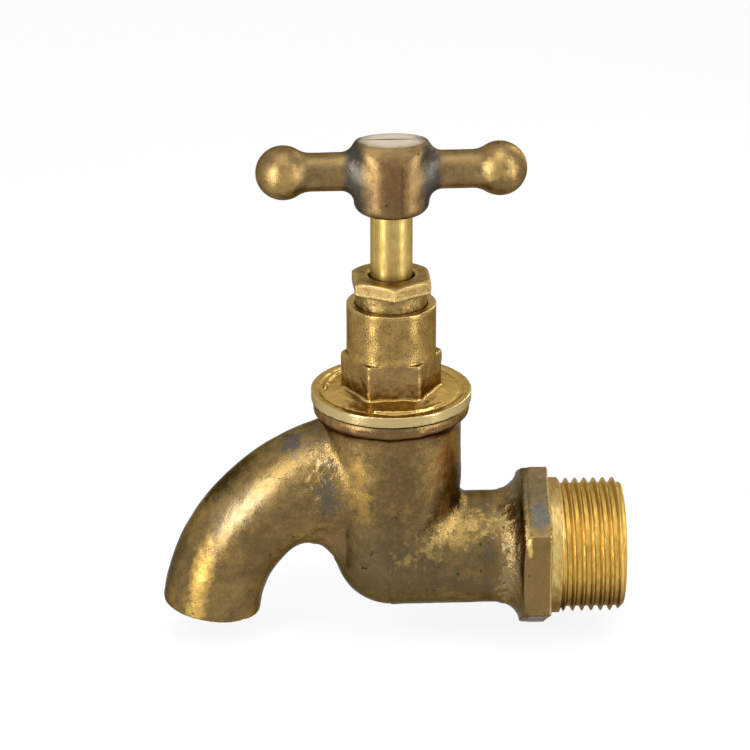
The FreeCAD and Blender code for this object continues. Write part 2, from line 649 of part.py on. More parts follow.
def round_hub_top(body):
    """Cut the top of the hub, in front and behind, to a level barrel that lies along the arms."""
    above_arms = f"({HUB_TOP} - {ARM_HEIGHT})"
    flat = f"sqrt(hub_barrel_radius * hub_barrel_radius - {above_arms} * {above_arms})"
    outside = "hub_barrel_radius + edge_break"
    for name, side in (("front_round", "-"), ("back_round", "")):
        sketch = new_sketch(body, f"{name}_outline", "YZ_Plane")
        outline(sketch, [
            (f"{side}hub_barrel_radius", ARM_HEIGHT),
            (f"{side}{flat}", HUB_TOP, f"{side}hub_barrel_radius"),
            (f"{side}{flat}", f"{HUB_TOP} + edge_break"),
            (f"{side}({outside})", f"{HUB_TOP} + edge_break"),
            (f"{side}({outside})", ARM_HEIGHT),
        ])
        cut = pad(body, name, sketch, "2 * (hub_radius + edge_break)", kind="Pocket")
        cut.Midplane = True
    doc.recompute()


def make_handle():
    body = new_body("handle", "handle_turn")
    turn(body, "hub", [
        ("0", "hub_base"),
        ("hub_radius - hub_base_round", "hub_base"),
        ("hub_radius", "hub_base + hub_base_round", "hub_base_round"),
        ("hub_radius", f"{HUB_TOP} - hub_top_round"),
        ("hub_radius - hub_top_round", HUB_TOP, "hub_top_round"),
        ("0", HUB_TOP),
    ])
    round_hub_top(body)
    arms = new_sketch(body, "arms_outline", "XZ_Plane")
    arms.setExpression("AttachmentOffset.Base.y", bind(ARM_HEIGHT))
    ball_centre = "(handle_reach - ball_radius)"
    ball_side = f"({ball_centre} - sqrt(ball_radius * ball_radius - arm_radius * arm_radius))"
    outline(arms, [
        ("-handle_reach", "0"),
        (f"-{ball_centre}", "ball_radius", "-ball_radius"),
        (f"-{ball_side}", "arm_radius", "-ball_radius"),
        (ball_side, "arm_radius"),
        (ball_centre, "ball_radius", "-ball_radius"),
        ("handle_reach", "0", "-ball_radius"),
    ])
    arm_reach = measure("arm_radius / 2")
    bar = feature(body, "Revolution", "arms", arms)
    bar.ReferenceAxis = (arms, ["H_Axis"])
    bar.Angle = 360
    doc.recompute()
    arm_base = measure(f"{ARM_HEIGHT} - arm_radius") - BOX_SLACK
    arm_top = measure(f"{ARM_HEIGHT} + arm_radius") + BOX_SLACK
    hub_side = measure("hub_radius") + BOX_SLACK
    around_arm = edges_where(bar, lambda box: box.ZLength > arm_reach and box.XLength < hub_side / 2
                             and box.ZMin > arm_base and box.ZMax < arm_top
                             and -hub_side < box.XMin and box.XMax < hub_side)
    dress(body, "Fillet", "arm_blend", bar, around_arm, "Radius", "arm_fillet")
    make_handle_holes(body)


def make_handle_holes(body):
    """Blind square socket for the spindle's tang and the tapped hole of the grub screw."""
    socket = new_sketch(body, "socket_outline", "XY_Plane", "hub_base")
    polygon(socket, "(tang_width / sqrt(2) + fit_clearance * sqrt(2))", sides=4, first_angle=45.0)
    pad(body, "socket", socket, "tang_length + socket_relief", kind="Pocket", reverse=True)
    hole = new_sketch(body, "screw_hole_outline", "XZ_Plane")
    circle(hole, "grub_screw_radius + fit_clearance", "0", ARM_HEIGHT)
    pad(body, "screw_hole", hole, "hub_radius + edge_break", kind="Pocket")


def make_grub_screw():
    body = new_body("handle_grub_screw", "handle_turn")
    inner_end = "(tang_width / 2 + fit_clearance)"
    outer_end = "(hub_radius - edge_break)"
    blank = new_sketch(body, "blank_outline", "XZ_Plane", f"-{inner_end}")
    circle(blank, "grub_screw_radius", "0", ARM_HEIGHT)
    pad(body, "blank", blank, f"{outer_end} - {inner_end}", reverse=True)
    slot = new_sketch(body, "slot_outline", "XZ_Plane", f"-{outer_end}")
    half = "grub_slot_width / 2"
    side = "(grub_screw_radius + edge_break)"
    outline(slot, [
        (f"-{side}", f"{ARM_HEIGHT} - {half}"),
        (side, f"{ARM_HEIGHT} - {half}"),
        (side, f"{ARM_HEIGHT} + {half}"),
        (f"-{side}", f"{ARM_HEIGHT} + {half}"),
    ])
    pad(body, "slot", slot, "grub_slot_depth", kind="Pocket", reverse=True)


def build():
    make_tap_body()
    make_bonnet()
    make_gland_nut()
    make_packing()
    make_jumper()
    make_washers()
    make_spindle()
    make_handle()
    make_grub_screw()


def check_and_write():
    """Stop on any failed object or broken shape, then write one file for each piece."""
    doc.recompute()
    for item in doc.Objects:
        if "Invalid" in item.State or "Error" in item.State:
            raise RuntimeError(f"{item.Name} failed: {item.State}")
    bodies = doc.findObjects("PartDesign::Body")
    for body in bodies:
        if body.Shape.isNull() or not body.Shape.isValid() or len(body.Shape.Solids) != 1:
            raise RuntimeError(f"{body.Label} is not one sound solid")
    os.makedirs("parts", exist_ok=True)
    for body in bodies:
        body.Shape.exportStep(f"parts/{body.Label}.step")
        print(body.Label, "volume", round(body.Shape.Volume, 1))


build()
check_and_write()
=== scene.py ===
# Brass bib tap: its looks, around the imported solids.
# Shapes are worked out in millimetres about the valve axis, which stands at x = -SPINDLE_OFFSET, and are
# turned into metres in the part's own frame when their meshes are made.
import math

import bpy
import numpy as np
from mathutils import Matrix, Vector


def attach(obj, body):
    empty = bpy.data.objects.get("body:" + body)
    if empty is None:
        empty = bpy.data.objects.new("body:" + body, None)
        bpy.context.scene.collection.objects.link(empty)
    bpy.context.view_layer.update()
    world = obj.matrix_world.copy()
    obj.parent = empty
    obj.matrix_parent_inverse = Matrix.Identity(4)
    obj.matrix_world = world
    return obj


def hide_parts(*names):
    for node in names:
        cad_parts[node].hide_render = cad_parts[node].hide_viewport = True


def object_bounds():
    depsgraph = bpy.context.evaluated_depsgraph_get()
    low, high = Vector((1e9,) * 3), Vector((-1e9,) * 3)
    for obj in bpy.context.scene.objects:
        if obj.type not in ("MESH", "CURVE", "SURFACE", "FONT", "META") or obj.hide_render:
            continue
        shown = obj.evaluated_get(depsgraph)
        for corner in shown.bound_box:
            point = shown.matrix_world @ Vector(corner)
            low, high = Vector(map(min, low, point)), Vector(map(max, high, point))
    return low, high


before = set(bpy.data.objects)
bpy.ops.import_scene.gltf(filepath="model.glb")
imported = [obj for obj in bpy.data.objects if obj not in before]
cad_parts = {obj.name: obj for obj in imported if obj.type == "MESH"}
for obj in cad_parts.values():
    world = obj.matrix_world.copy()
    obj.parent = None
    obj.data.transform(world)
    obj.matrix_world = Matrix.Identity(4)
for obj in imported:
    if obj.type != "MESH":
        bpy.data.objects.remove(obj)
cad_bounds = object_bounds()

MM = 0.001
SPINDLE_OFFSET = 30.3


# Distance functions: how far outside a shape each point lies, in millimetres

def span(*parts):
    """Length of the vector with these parts."""
    return np.sqrt(sum(part * part for part in parts))


def ramp(value, low, high):
    """Smooth step from 0 at low to 1 at high."""
    share = np.clip((value - low) / (high - low), 0.0, 1.0)
    return share * share * (3.0 - 2.0 * share)


def join(first, second, radius):
    """Union of two shapes with a fillet between them."""
    return np.maximum(radius, np.minimum(first, second)) - span(
        np.maximum(radius - first, 0.0), np.maximum(radius - second, 0.0))


def trim(first, second, radius):
    """What two shapes have in common, with a rounded edge."""
    return np.minimum(-radius, np.maximum(first, second)) + span(
        np.maximum(radius + first, 0.0), np.maximum(radius + second, 0.0))


def slab(value, low, high):
    """Distance outside a range of one coordinate."""
    return np.maximum(low - value, value - high)


def band(value, rise, fall):
    """1 between two smooth steps, each given by its start and end."""
    return ramp(value, *rise) * (1.0 - ramp(value, *fall))


def disc(points, radius, low, high, rounding):
    """Upright disc or cylinder about the valve axis."""
    return trim(span(points[:, 0], points[:, 1]) - radius, slab(points[:, 2], low, high), rounding)


def hexagon(across, up, flats, turn):
    """Distance outside a hexagonal prism, with one corner at an angle of turn degrees."""
    angles = [math.radians(turn + 30.0 + 60.0 * side) for side in range(6)]
    return np.maximum.reduce([
        across * math.cos(angle) + up * math.sin(angle) - flats / 2 for angle in angles])


def chamfer(radius, depth, flats, drop):
    """Cone that turns back a hexagon's corners: flats at the face, and corners at a depth of drop."""
    rise = flats / math.sqrt(3.0) - flats / 2
    return ((radius - flats / 2) * drop - depth * rise) / math.hypot(drop, rise)


# Uneven castings

LATTICE = 32
lattice = np.random.RandomState(7).uniform(-1.0, 1.0, (LATTICE, LATTICE, LATTICE))


def waves(points, size, shift=0.0):
    """Smooth noise between about -1 and 1, with bumps of one size."""
    place = points / size + shift
    cell = np.floor(place).astype(int)
    part = place - cell
    part = part * part * (3.0 - 2.0 * part)
    total = 0.0
    for corner in np.ndindex(2, 2, 2):
        weight = np.prod(np.where(corner, part, 1.0 - part), axis=1)
        index = (cell + corner) % LATTICE
        total = total + weight * lattice[index[:, 0], index[:, 1], index[:, 2]]
    return total


def uneven(points, layers, rough=0.0):
    """Unevenness in layers of noise: depth, depth added where rough is 1, size of the bumps, and shift."""
    return sum(
        (depth + more * rough) * waves(points, size, shift) for depth, more, size, shift in layers)


# Meshes from distance functions

SLOPE_STEP = 0.02


def slope(shape, points):
    """Gradient of a distance function."""
    result = np.empty_like(points)
    for axis in range(3):
        offset = np.zeros(3)
        offset[axis] = SLOPE_STEP
        result[:, axis] = (shape(points + offset) - shape(points - offset)) / (2.0 * SLOPE_STEP)
    return result


def net(shape, low, high, cell):
    """Quads over the surface of a shape, with one point in each cell of a grid that the surface cuts."""
    axes = [np.arange(low[axis] - cell, high[axis] + 2.0 * cell, cell) for axis in range(3)]
    sizes = [len(values) for values in axes]
    value = np.empty(sizes)
    across, up = np.meshgrid(axes[1], axes[2], indexing="ij")
    for index, place in enumerate(axes[0]):
        layer = np.stack([np.full(across.size, place), across.ravel(), up.ravel()], axis=1)
        value[index] = shape(layer).reshape(sizes[1], sizes[2])
    inside = value < 0.0
    total = np.zeros([size - 1 for size in sizes] + [3])
    count = np.zeros([size - 1 for size in sizes])
    crossings = []
    for axis in range(3):
        first = [slice(None)] * 3
        second = [slice(None)] * 3
        first[axis] = slice(0, -1)
        second[axis] = slice(1, None)
        ends = (inside[tuple(first)], inside[tuple(second)])
        where = np.argwhere(ends[0] != ends[1])
        others = [other for other in range(3) if other != axis]
        keep = np.all([
            (where[:, other] > 0) & (where[:, other] < sizes[other] - 1) for other in others], axis=0)
        where = where[keep]
        after = where.copy()
        after[:, axis] += 1
        near = value[tuple(where.T)]
        far = value[tuple(after.T)]
        point = np.stack([axes[each][where[:, each]] for each in range(3)], axis=1)
        point[:, axis] += cell * near / (near - far)
        crossings.append((axis, others, where, near < 0.0))
        for back in ((0, 0), (1, 0), (0, 1), (1, 1)):
            box = where.copy()
            box[:, others[0]] -= back[0]
            box[:, others[1]] -= back[1]
            np.add.at(total, tuple(box.T), point)
            np.add.at(count, tuple(box.T), 1.0)
    used = count > 0
    number = np.full(count.shape, -1)
    number[used] = np.arange(used.sum())
    vertices = total[used] / count[used][:, None]
    quads = []
    for axis, others, where, leaving in crossings:
        corners = []
        for back in ((0, 0), (1, 0), (1, 1), (0, 1)):
            box = where.copy()
            box[:, others[0]] -= back[0]
            box[:, others[1]] -= back[1]
            corners.append(number[tuple(box.T)])
        faces = np.stack(corners, axis=1)
        forward = leaving if axis != 1 else ~leaving
        quads.append(np.where(forward[:, None], faces, faces[:, ::-1]))
    return vertices, np.concatenate(quads)


PULLS = 4
LEAST_STEEPNESS = 0.1
LEAST_LENGTH = 1e-6
HOLLOW_REACHES = (1.2, 3.0, 6.0)
HOLLOW_GAIN = 4.0
EDGE_REACH = 0.9


def settle(shape, vertices, cell):
    """Points drawn onto the surface, with their normals."""
    for _ in range(PULLS):
        gradient = slope(shape, vertices)
        steepness = np.maximum((gradient * gradient).sum(axis=1), LEAST_STEEPNESS)
        move = shape(vertices) / steepness
        vertices = vertices - np.clip(move, -cell, cell)[:, None] * gradient
    gradient = slope(shape, vertices)
    return vertices, gradient / np.maximum(span(*gradient.T), LEAST_LENGTH)[:, None]


def to_metres(vertices):
    """Points about the valve axis, in millimetres, as metres in the part's own frame."""
    return (vertices - (SPINDLE_OFFSET, 0.0, 0.0)) * MM


def piece_from_mesh(name, vertices, faces, normals=None, **values):
    """A mesh object from points in millimetres, with numbers for its points under each name in values."""
    mesh = bpy.data.meshes.new(name)
    mesh.from_pydata(to_metres(vertices).tolist(), [], faces.tolist())
    mesh.validate()
    mesh.shade_smooth()
    if normals is not None:
        mesh.normals_split_custom_set_from_vertices(normals.tolist())
    for key, numbers in values.items():
        layer = mesh.attributes.new(key, "FLOAT", "POINT")
        layer.data.foreach_set("value", np.asarray(numbers, dtype=np.float32))
    piece = bpy.data.objects.new(name, mesh)
    bpy.context.scene.collection.objects.link(piece)
    return piece


def carve(name, shape, low, high, cell):
    """A piece with the surface of a shape. Its points know how hollow and how sharp the surface is."""
    vertices, faces = net(shape, low, high, cell)
    vertices, normals = settle(shape, vertices, cell)
    hollow = np.zeros(len(vertices))
    for reach in HOLLOW_REACHES:
        open_share = shape(vertices + reach * normals) / reach
        hollow += np.clip(1.0 - open_share, 0.0, 1.0) / len(HOLLOW_REACHES)
    hollow = np.clip(HOLLOW_GAIN * hollow, 0.0, 1.0)
    sharp = np.clip(1.0 + shape(vertices - EDGE_REACH * normals) / EDGE_REACH, 0.0, 1.0)
    return piece_from_mesh(name, vertices, faces, normals, hollow=hollow, sharp=sharp)


# Body casting

SPOUT_CENTRE = (-5.397, -13.501)
SPOUT_BEND = 29.7
SPOUT_RADIUS = 9.7
ROOT_ANGLE = math.radians(80.0)
ROOT_NARROWING = 0.24
MIDDLE_ANGLE = math.radians(134.75)
GROWTH_SWEEP = math.radians(36.75)
GROWTH_LIMIT = 1.4
GROWTH = 2.3
GROWTH_POWER = 1.26
MOUTH_ANGLE = math.radians(171.5)
MOUTH_SWEEP = math.radians(24.5)
MOUTH_TAPER = 0.2
MOUTH_RUN = 1.8
MOUTH_EDGE = 0.45


def along_spout(points):
    """Distance from the spout's centreline, angle round its bend, and how far on from the end of the bend."""
    across = points[:, 0] - SPOUT_CENTRE[0]
    up = points[:, 2] - SPOUT_CENTRE[1]
    angle = np.arctan2(up, across)
    angle = np.where(angle < -math.pi / 2, angle + 2.0 * math.pi, angle)
    angle = np.clip(angle, ROOT_ANGLE, MOUTH_ANGLE)
    run = -across * math.sin(MOUTH_ANGLE) + up * math.cos(MOUTH_ANGLE)
    bend = span(across - SPOUT_BEND * np.cos(angle), points[:, 1], up - SPOUT_BEND * np.sin(angle))
    out = across * math.cos(MOUTH_ANGLE) + up * math.sin(MOUTH_ANGLE) - SPOUT_BEND
    return np.where(run > 0.0, span(out, points[:, 1]), bend), angle, run


def spout(points):
    """Outside of the spout, which grows higher, but hardly wider, towards its root."""
    angle = along_spout(points)[1]
    growth = np.clip((MIDDLE_ANGLE - angle) / GROWTH_SWEEP, 0.0, GROWTH_LIMIT)
    narrow = points.copy()
    narrow[:, 1] *= 1.0 + ROOT_NARROWING * growth
    away, angle, run = along_spout(narrow)
    taper = MOUTH_TAPER * ramp(angle, MIDDLE_ANGLE, MIDDLE_ANGLE + MOUTH_SWEEP)
    radius = SPOUT_RADIUS + GROWTH * growth ** GROWTH_POWER - taper
    return trim(away - radius, run - MOUTH_RUN, MOUTH_EDGE)


MOUTH_BORE = 7.5
MOUTH_DEPTH = 3.0
BORE_RADIUS = 8.75
BORE_END = 24.75
PASSAGE_RADIUS = 7.5
PASSAGE_END = -6.6
CHAMBER_BORE = 10.8
CHAMBER_BORE_HEIGHTS = (9.5, 24.0)
SEAT_RADII = (6.35, 8.05)
SEAT_TOP = 10.5
SEAT_BORE_HEIGHTS = (0.0, 11.0)
BONNET_BORE = 11.55
BONNET_BORE_HEIGHTS = (22.9, 40.0)
BEYOND_INLET = 60.0
SPOUT_BORE = 7.3
SPOUT_BORE_LOSS = 1.1
SPOUT_BORE_LOSS_SWEEP = (-math.radians(120.0), -math.radians(98.0))
SPOUT_BORE_RISE = 1.1
SPOUT_BORE_RISE_RUN = (-22.0, -9.5)


def waterway(points):
    """All the hollow inside the casting."""
    x, y, z = points.T
    radius = span(x, y)
    upper = np.maximum(radius - CHAMBER_BORE, slab(z, *CHAMBER_BORE_HEIGHTS))
    rim = np.maximum(slab(radius, *SEAT_RADII), z - SEAT_TOP)
    upper = np.maximum(upper, -rim)
    thread = np.maximum(radius - BONNET_BORE, slab(z, *BONNET_BORE_HEIGHTS))
    seat = np.maximum(radius - SEAT_RADII[0], slab(z, *SEAT_BORE_HEIGHTS))
    step = BORE_RADIUS - PASSAGE_RADIUS
    inlet = span(y, z) - PASSAGE_RADIUS - step * np.clip((x - BORE_END) / step, 0.0, 1.0)
    inlet = np.maximum(inlet, slab(x, PASSAGE_END, BEYOND_INLET))
    raised = points.copy()
    raised[:, 2] -= SPOUT_BORE_RISE * ramp(x, *SPOUT_BORE_RISE_RUN)
    away, angle, run = along_spout(raised)
    passage = away - (SPOUT_BORE - SPOUT_BORE_LOSS * ramp(-angle, *SPOUT_BORE_LOSS_SWEEP))
    passage = np.maximum(passage, x)
    mouth = np.maximum(along_spout(points)[0] - MOUTH_BORE, MOUTH_RUN - MOUTH_DEPTH - run)
    return np.minimum.reduce([upper, thread, seat, inlet, passage, mouth])


HEX_BACK = 25.0
HEX_FRONT = 30.3
HEX_FLATS = 29.0
HEX_TURN = 90.0
HEX_EDGE = 0.35
HEX_CHAMFER = 1.3
HEX_CHAMFER_EDGE = 0.6


def inlet_hexagon(points):
    """Inlet hexagon with corners up and down, and a turned chamfer on its neck side."""
    x, y, z = points.T
    prism = trim(hexagon(y, z, HEX_FLATS, HEX_TURN), slab(x, HEX_BACK, HEX_FRONT), HEX_EDGE)
    return trim(prism, chamfer(span(y, z), x - HEX_BACK, HEX_FLATS, HEX_CHAMFER), HEX_CHAMFER_EDGE)


CHAMBER_RADIUS = 10.9
CHAMBER_GROWTH = 2.5
CHAMBER_GROWTH_RUN = (-2.0, 17.0)
BODY_TOP = 31.6
BODY_EDGE = 0.35
BODY_FLANGE = (14.95, 29.2, BODY_TOP, 0.8)
BODY_FLANGE_FILLET = 1.8
ROOT_FILLET = 1.3
UNDER_FILLET = 6.7
UNDER_DEPTHS = (-11.0, -4.0)
UNDER_WIDTHS = (4.5, 9.0)
NECK_RADIUS = 11.0
NECK_END = HEX_FRONT - 1.0
NECK_FILLET = 0.4
NECK_FILLET_GROWTH = 2.4
NECK_FILLET_RUN = (-10.0, -1.0)
FLARE_START = 20.2
FLARE_ROUND = 5.0
FLARE_RADIUS = 15.4
FLARE_OVERLAP = 0.6
FLARE_INSET = 0.3
HEX_FILLET = 0.9
WATERWAY_EDGE = 0.3


def casting_form(points):
    """Chamber, flange, spout, neck, flare and hexagon, with their fillets."""
    x, y, z = points.T
    radius = span(x, y)
    wall = CHAMBER_RADIUS + CHAMBER_GROWTH * ramp(z, *CHAMBER_GROWTH_RUN)
    side = np.where(z < 0.0, span(radius, z) - CHAMBER_RADIUS, radius - wall)
    chamber = trim(side, z - BODY_TOP, BODY_EDGE)
    body = join(chamber, disc(points, *BODY_FLANGE), BODY_FLANGE_FILLET)
    under = ramp(-z, *UNDER_DEPTHS) * (1.0 - ramp(np.abs(y), *UNDER_WIDTHS))
    body = join(body, spout(points), ROOT_FILLET + UNDER_FILLET * under)
    about = span(y, z)
    neck = np.maximum(about - NECK_RADIUS, slab(x, 0.0, NECK_END))
    body = join(body, neck, NECK_FILLET + NECK_FILLET_GROWTH * ramp(z, *NECK_FILLET_RUN))
    hollow = FLARE_ROUND - span(x - FLARE_START, about - NECK_RADIUS - FLARE_ROUND)
    flare = np.maximum.reduce([
        hollow, slab(x, FLARE_START, HEX_BACK + FLARE_OVERLAP), about - FLARE_RADIUS,
        hexagon(y, z, HEX_FLATS - FLARE_INSET, HEX_TURN)])
    body = join(np.minimum(body, flare), inlet_hexagon(points), HEX_FILLET)
    return trim(body, -waterway(points), WATERWAY_EDGE)


ROUGH_DEPTH = 1.5
CASTING_LAYERS = ((0.08, 0.0, 7.0, 0.0), (0.05, 0.0, 2.6, 5.3), (0.03, 0.0, 1.1, 9.1))
FLARE_BURR = 0.3
FLARE_BURR_RUNS = ((19.5, 22.0), (23.6, 24.8))
ROOT_BURR = 0.45
ROOT_BURR_PLACE = -13.0
ROOT_BURR_REACH = (1.5, 4.5)
ROOT_BURR_HEIGHTS = ((-8.0, 0.0), (20.0, 26.0))
BURR_SIZE = 1.6
BURR_SHIFT = 3.7
LIP_DENT = 0.14
LIP_DENT_RADII = (13.2, 14.2)
LIP_DENT_HEIGHTS = ((27.0, 28.5), (30.4, 31.0))
LIP_DENT_SIZE = 2.1
LIP_DENT_SHIFT = 7.7


def casting(points):
    """The casting's form with the unevenness of a sand casting that was tumbled."""
    result = casting_form(points)
    near = np.abs(result) < ROUGH_DEPTH
    place = points[near]
    x, y, z = place.T
    flare = FLARE_BURR * band(x, *FLARE_BURR_RUNS)
    root = 1.0 - ramp(np.abs(x - ROOT_BURR_PLACE), *ROOT_BURR_REACH)
    root = ROOT_BURR * root * band(z, *ROOT_BURR_HEIGHTS)
    lip = LIP_DENT * ramp(span(x, y), *LIP_DENT_RADII) * band(z, *LIP_DENT_HEIGHTS)
    burr = (flare + root) * np.clip(waves(place, BURR_SIZE, BURR_SHIFT), 0.0, 1.0)
    result[near] += uneven(place, CASTING_LAYERS) - burr - lip * waves(place, LIP_DENT_SIZE, LIP_DENT_SHIFT)
    return result


# Inlet thread

THREAD_START = 2.2
THREAD_END = 14.7
PITCH = 1.814
GROOVE_DEPTH = 0.95
CREST_RADIUS = 13.0
LAND_RADIUS = 13.22
CREST_FLAT = 0.14
ROOT_FLAT = 0.72
GROOVE_PLACE = THREAD_START + PITCH / 3.0
GROOVE_RUN_IN = 0.5
END_CHAMFER = 1.2
BORE_CHAMFER = 0.4
THREAD_LAYERS = ((0.02, 0.0, 0.9, 0.0),)
WOBBLE_RADIUS = 9.0
END_HOLLOWS = (0.2, 0.3, 1.0)
SHARP_ANGLE = math.radians(50.0)
THREAD_STEP = 0.065
THREAD_SIDES = 240


def thread_radius(run, angle):
    """Radius of the threaded end at a distance from the shoulder."""
    groove = GROOVE_PLACE + PITCH * angle / (2.0 * math.pi)
    off = np.abs((run - groove + PITCH / 2.0) % PITCH - PITCH / 2.0)
    flank = (PITCH - CREST_FLAT - ROOT_FLAT) / 2.0
    depth = GROOVE_DEPTH * (1.0 - np.clip((off - ROOT_FLAT / 2.0) / flank, 0.0, 1.0))
    depth = depth * ramp(run, THREAD_START, THREAD_START + GROOVE_RUN_IN)
    threaded = np.minimum(CREST_RADIUS - depth, CREST_RADIUS - END_CHAMFER + THREAD_END - run)
    return np.where(run < THREAD_START, LAND_RADIUS, threaded), depth / GROOVE_DEPTH


def make_thread():
    """Threaded end: outside from the shoulder to the end, end face, and bore back to the shoulder."""
    runs = np.arange(0.0, THREAD_END + THREAD_STEP / 2.0, THREAD_STEP)
    angles = np.arange(THREAD_SIDES) * 2.0 * math.pi / THREAD_SIDES
    angle, run = np.meshgrid(angles, runs, indexing="ij")
    radius, deep = thread_radius(run, angle)
    around = np.stack([run, WOBBLE_RADIUS * np.cos(angle), WOBBLE_RADIUS * np.sin(angle)], axis=2)
    radius = radius + uneven(around.reshape(-1, 3), THREAD_LAYERS).reshape(run.shape)
    bore_runs = np.array([THREAD_END, THREAD_END - BORE_CHAMFER, 0.0])
    bore_radii = np.array([BORE_RADIUS + BORE_CHAMFER, BORE_RADIUS, BORE_RADIUS])
    sides = len(angles)
    run = np.concatenate([run, np.tile(bore_runs, (sides, 1))], axis=1)
    radius = np.concatenate([radius, np.tile(bore_radii, (sides, 1))], axis=1)
    deep = np.concatenate([deep, np.tile(END_HOLLOWS, (sides, 1))], axis=1)
    turn = np.tile(angles[:, None], (1, run.shape[1]))
    vertices = np.stack([HEX_FRONT + run, radius * np.cos(turn), radius * np.sin(turn)], axis=2)
    number = np.arange(sides * run.shape[1]).reshape(sides, run.shape[1])
    beside = np.roll(number, -1, axis=0)
    onward = np.roll(number, -1, axis=1)
    faces = np.stack([number, beside, np.roll(beside, -1, axis=1), onward], axis=2).reshape(-1, 4)
    piece = piece_from_mesh("inlet_thread", vertices.reshape(-1, 3), faces[:, ::-1],
                            hollow=deep.ravel(), sharp=np.zeros(deep.size))
    piece.data.set_sharp_from_angle(angle=SHARP_ANGLE)
    return piece


# Bonnet, where a disc is its radius, underside, top and rounding

BONNET_FLANGE = (15.36, 31.8, 33.9, 0.2)
BONNET_BARREL = (8.55, 34.0, 51.5, 0.25)
BONNET_SKIRT = (11.45, 23.2, 32.5, 0.3)
DISH_HEIGHT = 33.6
DISH_LIP = 0.3
DISH_LIP_RADII = (13.5, 14.2)
DISH_SLOPE = 0.9
RIB_MIDDLES = (-74.0, 146.0)
RIB_SWEEP = 34.0
RIB_RADII = (12.2, 12.9)
RIB_HEIGHTS = (33.0, 34.2)
RIB_END = 0.3
RIB_EDGE = 0.25
FOOT_RADIUS = 11.9
FOOT_HEIGHT = 33.7
FOOT_RISE = 0.8
FOOT_RUN = 2.6
FOOT_FLOOR = 33.0
FOOT_REACH = 12.6
FOOT_FILLETS = (0.6, 0.35)
LEDGE_FLATS = 17.0
LEDGE_TURN = 1.0
LEDGE_CORNER = 9.6
LEDGE_CORNER_EDGE = 0.1
LEDGE_HEIGHTS = (33.0, 41.4)
LEDGE_EDGE = 0.35
BARREL_FILLET = 0.2
SCREW_BORE = (6.1, 36.3)
STEM_BORE = (4.1, 45.0)
PACKING_BOX = (6.9, 39.5)
BONNET_BORE_EDGE = 0.2
BONNET_LAYERS = ((0.02, 0.07, 1.9, 0.0), (0.0, 0.05, 0.8, 4.4))
CAST_TOP = 42.6
CAST_FADE = 1.5
CAST_RADII = (14.3, 14.9)


def bonnet(points):
    """Bonnet: skirt, flange with its raised ribs, cast hexagon and turned barrel."""
    x, y, z = points.T
    radius = span(x, y)
    dish = z - DISH_HEIGHT - DISH_LIP * ramp(radius, *DISH_LIP_RADII)
    flange = np.maximum(disc(points, *BONNET_FLANGE), DISH_SLOPE * dish)
    azimuth = np.degrees(np.arctan2(y, x))
    for middle in RIB_MIDDLES:
        swing = np.abs((azimuth - middle + 180.0) % 360.0 - 180.0)
        ends = np.radians(swing - RIB_SWEEP) * radius
        rib = trim(trim(slab(radius, *RIB_RADII), ends, RIB_END), slab(z, *RIB_HEIGHTS), RIB_EDGE)
        flange = join(flange, rib, RIB_EDGE)
    cone = (radius - FOOT_RADIUS) * FOOT_RISE + (z - FOOT_HEIGHT) * FOOT_RUN
    foot = np.maximum.reduce([cone / math.hypot(FOOT_RISE, FOOT_RUN), FOOT_FLOOR - z, radius - FOOT_REACH])
    ledge = trim(hexagon(x, y, LEDGE_FLATS, LEDGE_TURN), radius - LEDGE_CORNER, LEDGE_CORNER_EDGE)
    ledge = trim(ledge, slab(z, *LEDGE_HEIGHTS), LEDGE_EDGE)
    upper = join(ledge, disc(points, *BONNET_BARREL), BARREL_FILLET)
    outside = join(upper, join(flange, foot, FOOT_FILLETS[0]), FOOT_FILLETS[1])
    outside = np.minimum(outside, disc(points, *BONNET_SKIRT))
    bore = np.maximum(radius - SCREW_BORE[0], z - SCREW_BORE[1])
    hole = np.maximum(radius - STEM_BORE[0], z - STEM_BORE[1])
    box = np.maximum(radius - PACKING_BOX[0], PACKING_BOX[1] - z)
    result = trim(outside, -np.minimum.reduce([bore, hole, box]), BONNET_BORE_EDGE)
    near = np.abs(result) < ROUGH_DEPTH
    place = points[near]
    cast = ramp(CAST_TOP - place[:, 2], 0.0, CAST_FADE) * (1.0 - ramp(radius[near], *CAST_RADII))
    result[near] += uneven(place, BONNET_LAYERS, cast)
    return result


# Gland nut

GLAND_FLATS = 14.4
GLAND_TURN = 32.5
GLAND_HEIGHTS = (54.35, 57.1)
GLAND_EDGE = 0.2
GLAND_CHAMFER = 0.6
GLAND_SHANK = (6.8, 46.6, 55.0, 0.25)
GLAND_FILLET = 0.3
GLAND_HOLE = 4.4
GLAND_HOLE_EDGE = 0.12
COUNTERSINK = 0.2
DENT_HEIGHTS = (54.0, 54.4)
GLAND_LAYERS = ((0.02, 0.1, 1.4, 2.2), (0.015, 0.045, 0.6, 6.1))


def gland_nut(points):
    """Gland nut: dented round shank, thin hexagon with a turned chamfer, and a countersunk hole."""
    x, y, z = points.T
    radius = span(x, y)
    top = GLAND_HEIGHTS[1]
    plate = trim(hexagon(x, y, GLAND_FLATS, GLAND_TURN), slab(z, *GLAND_HEIGHTS), GLAND_EDGE)
    plate = trim(plate, chamfer(radius, top - z, GLAND_FLATS, GLAND_CHAMFER), GLAND_EDGE)
    nut = join(plate, disc(points, *GLAND_SHANK), GLAND_FILLET)
    hole = radius - GLAND_HOLE - np.clip(z - top + COUNTERSINK, 0.0, COUNTERSINK)
    nut = trim(nut, -hole, GLAND_HOLE_EDGE)
    return nut + uneven(points, GLAND_LAYERS, 1.0 - ramp(z, *DENT_HEIGHTS))


# Handle

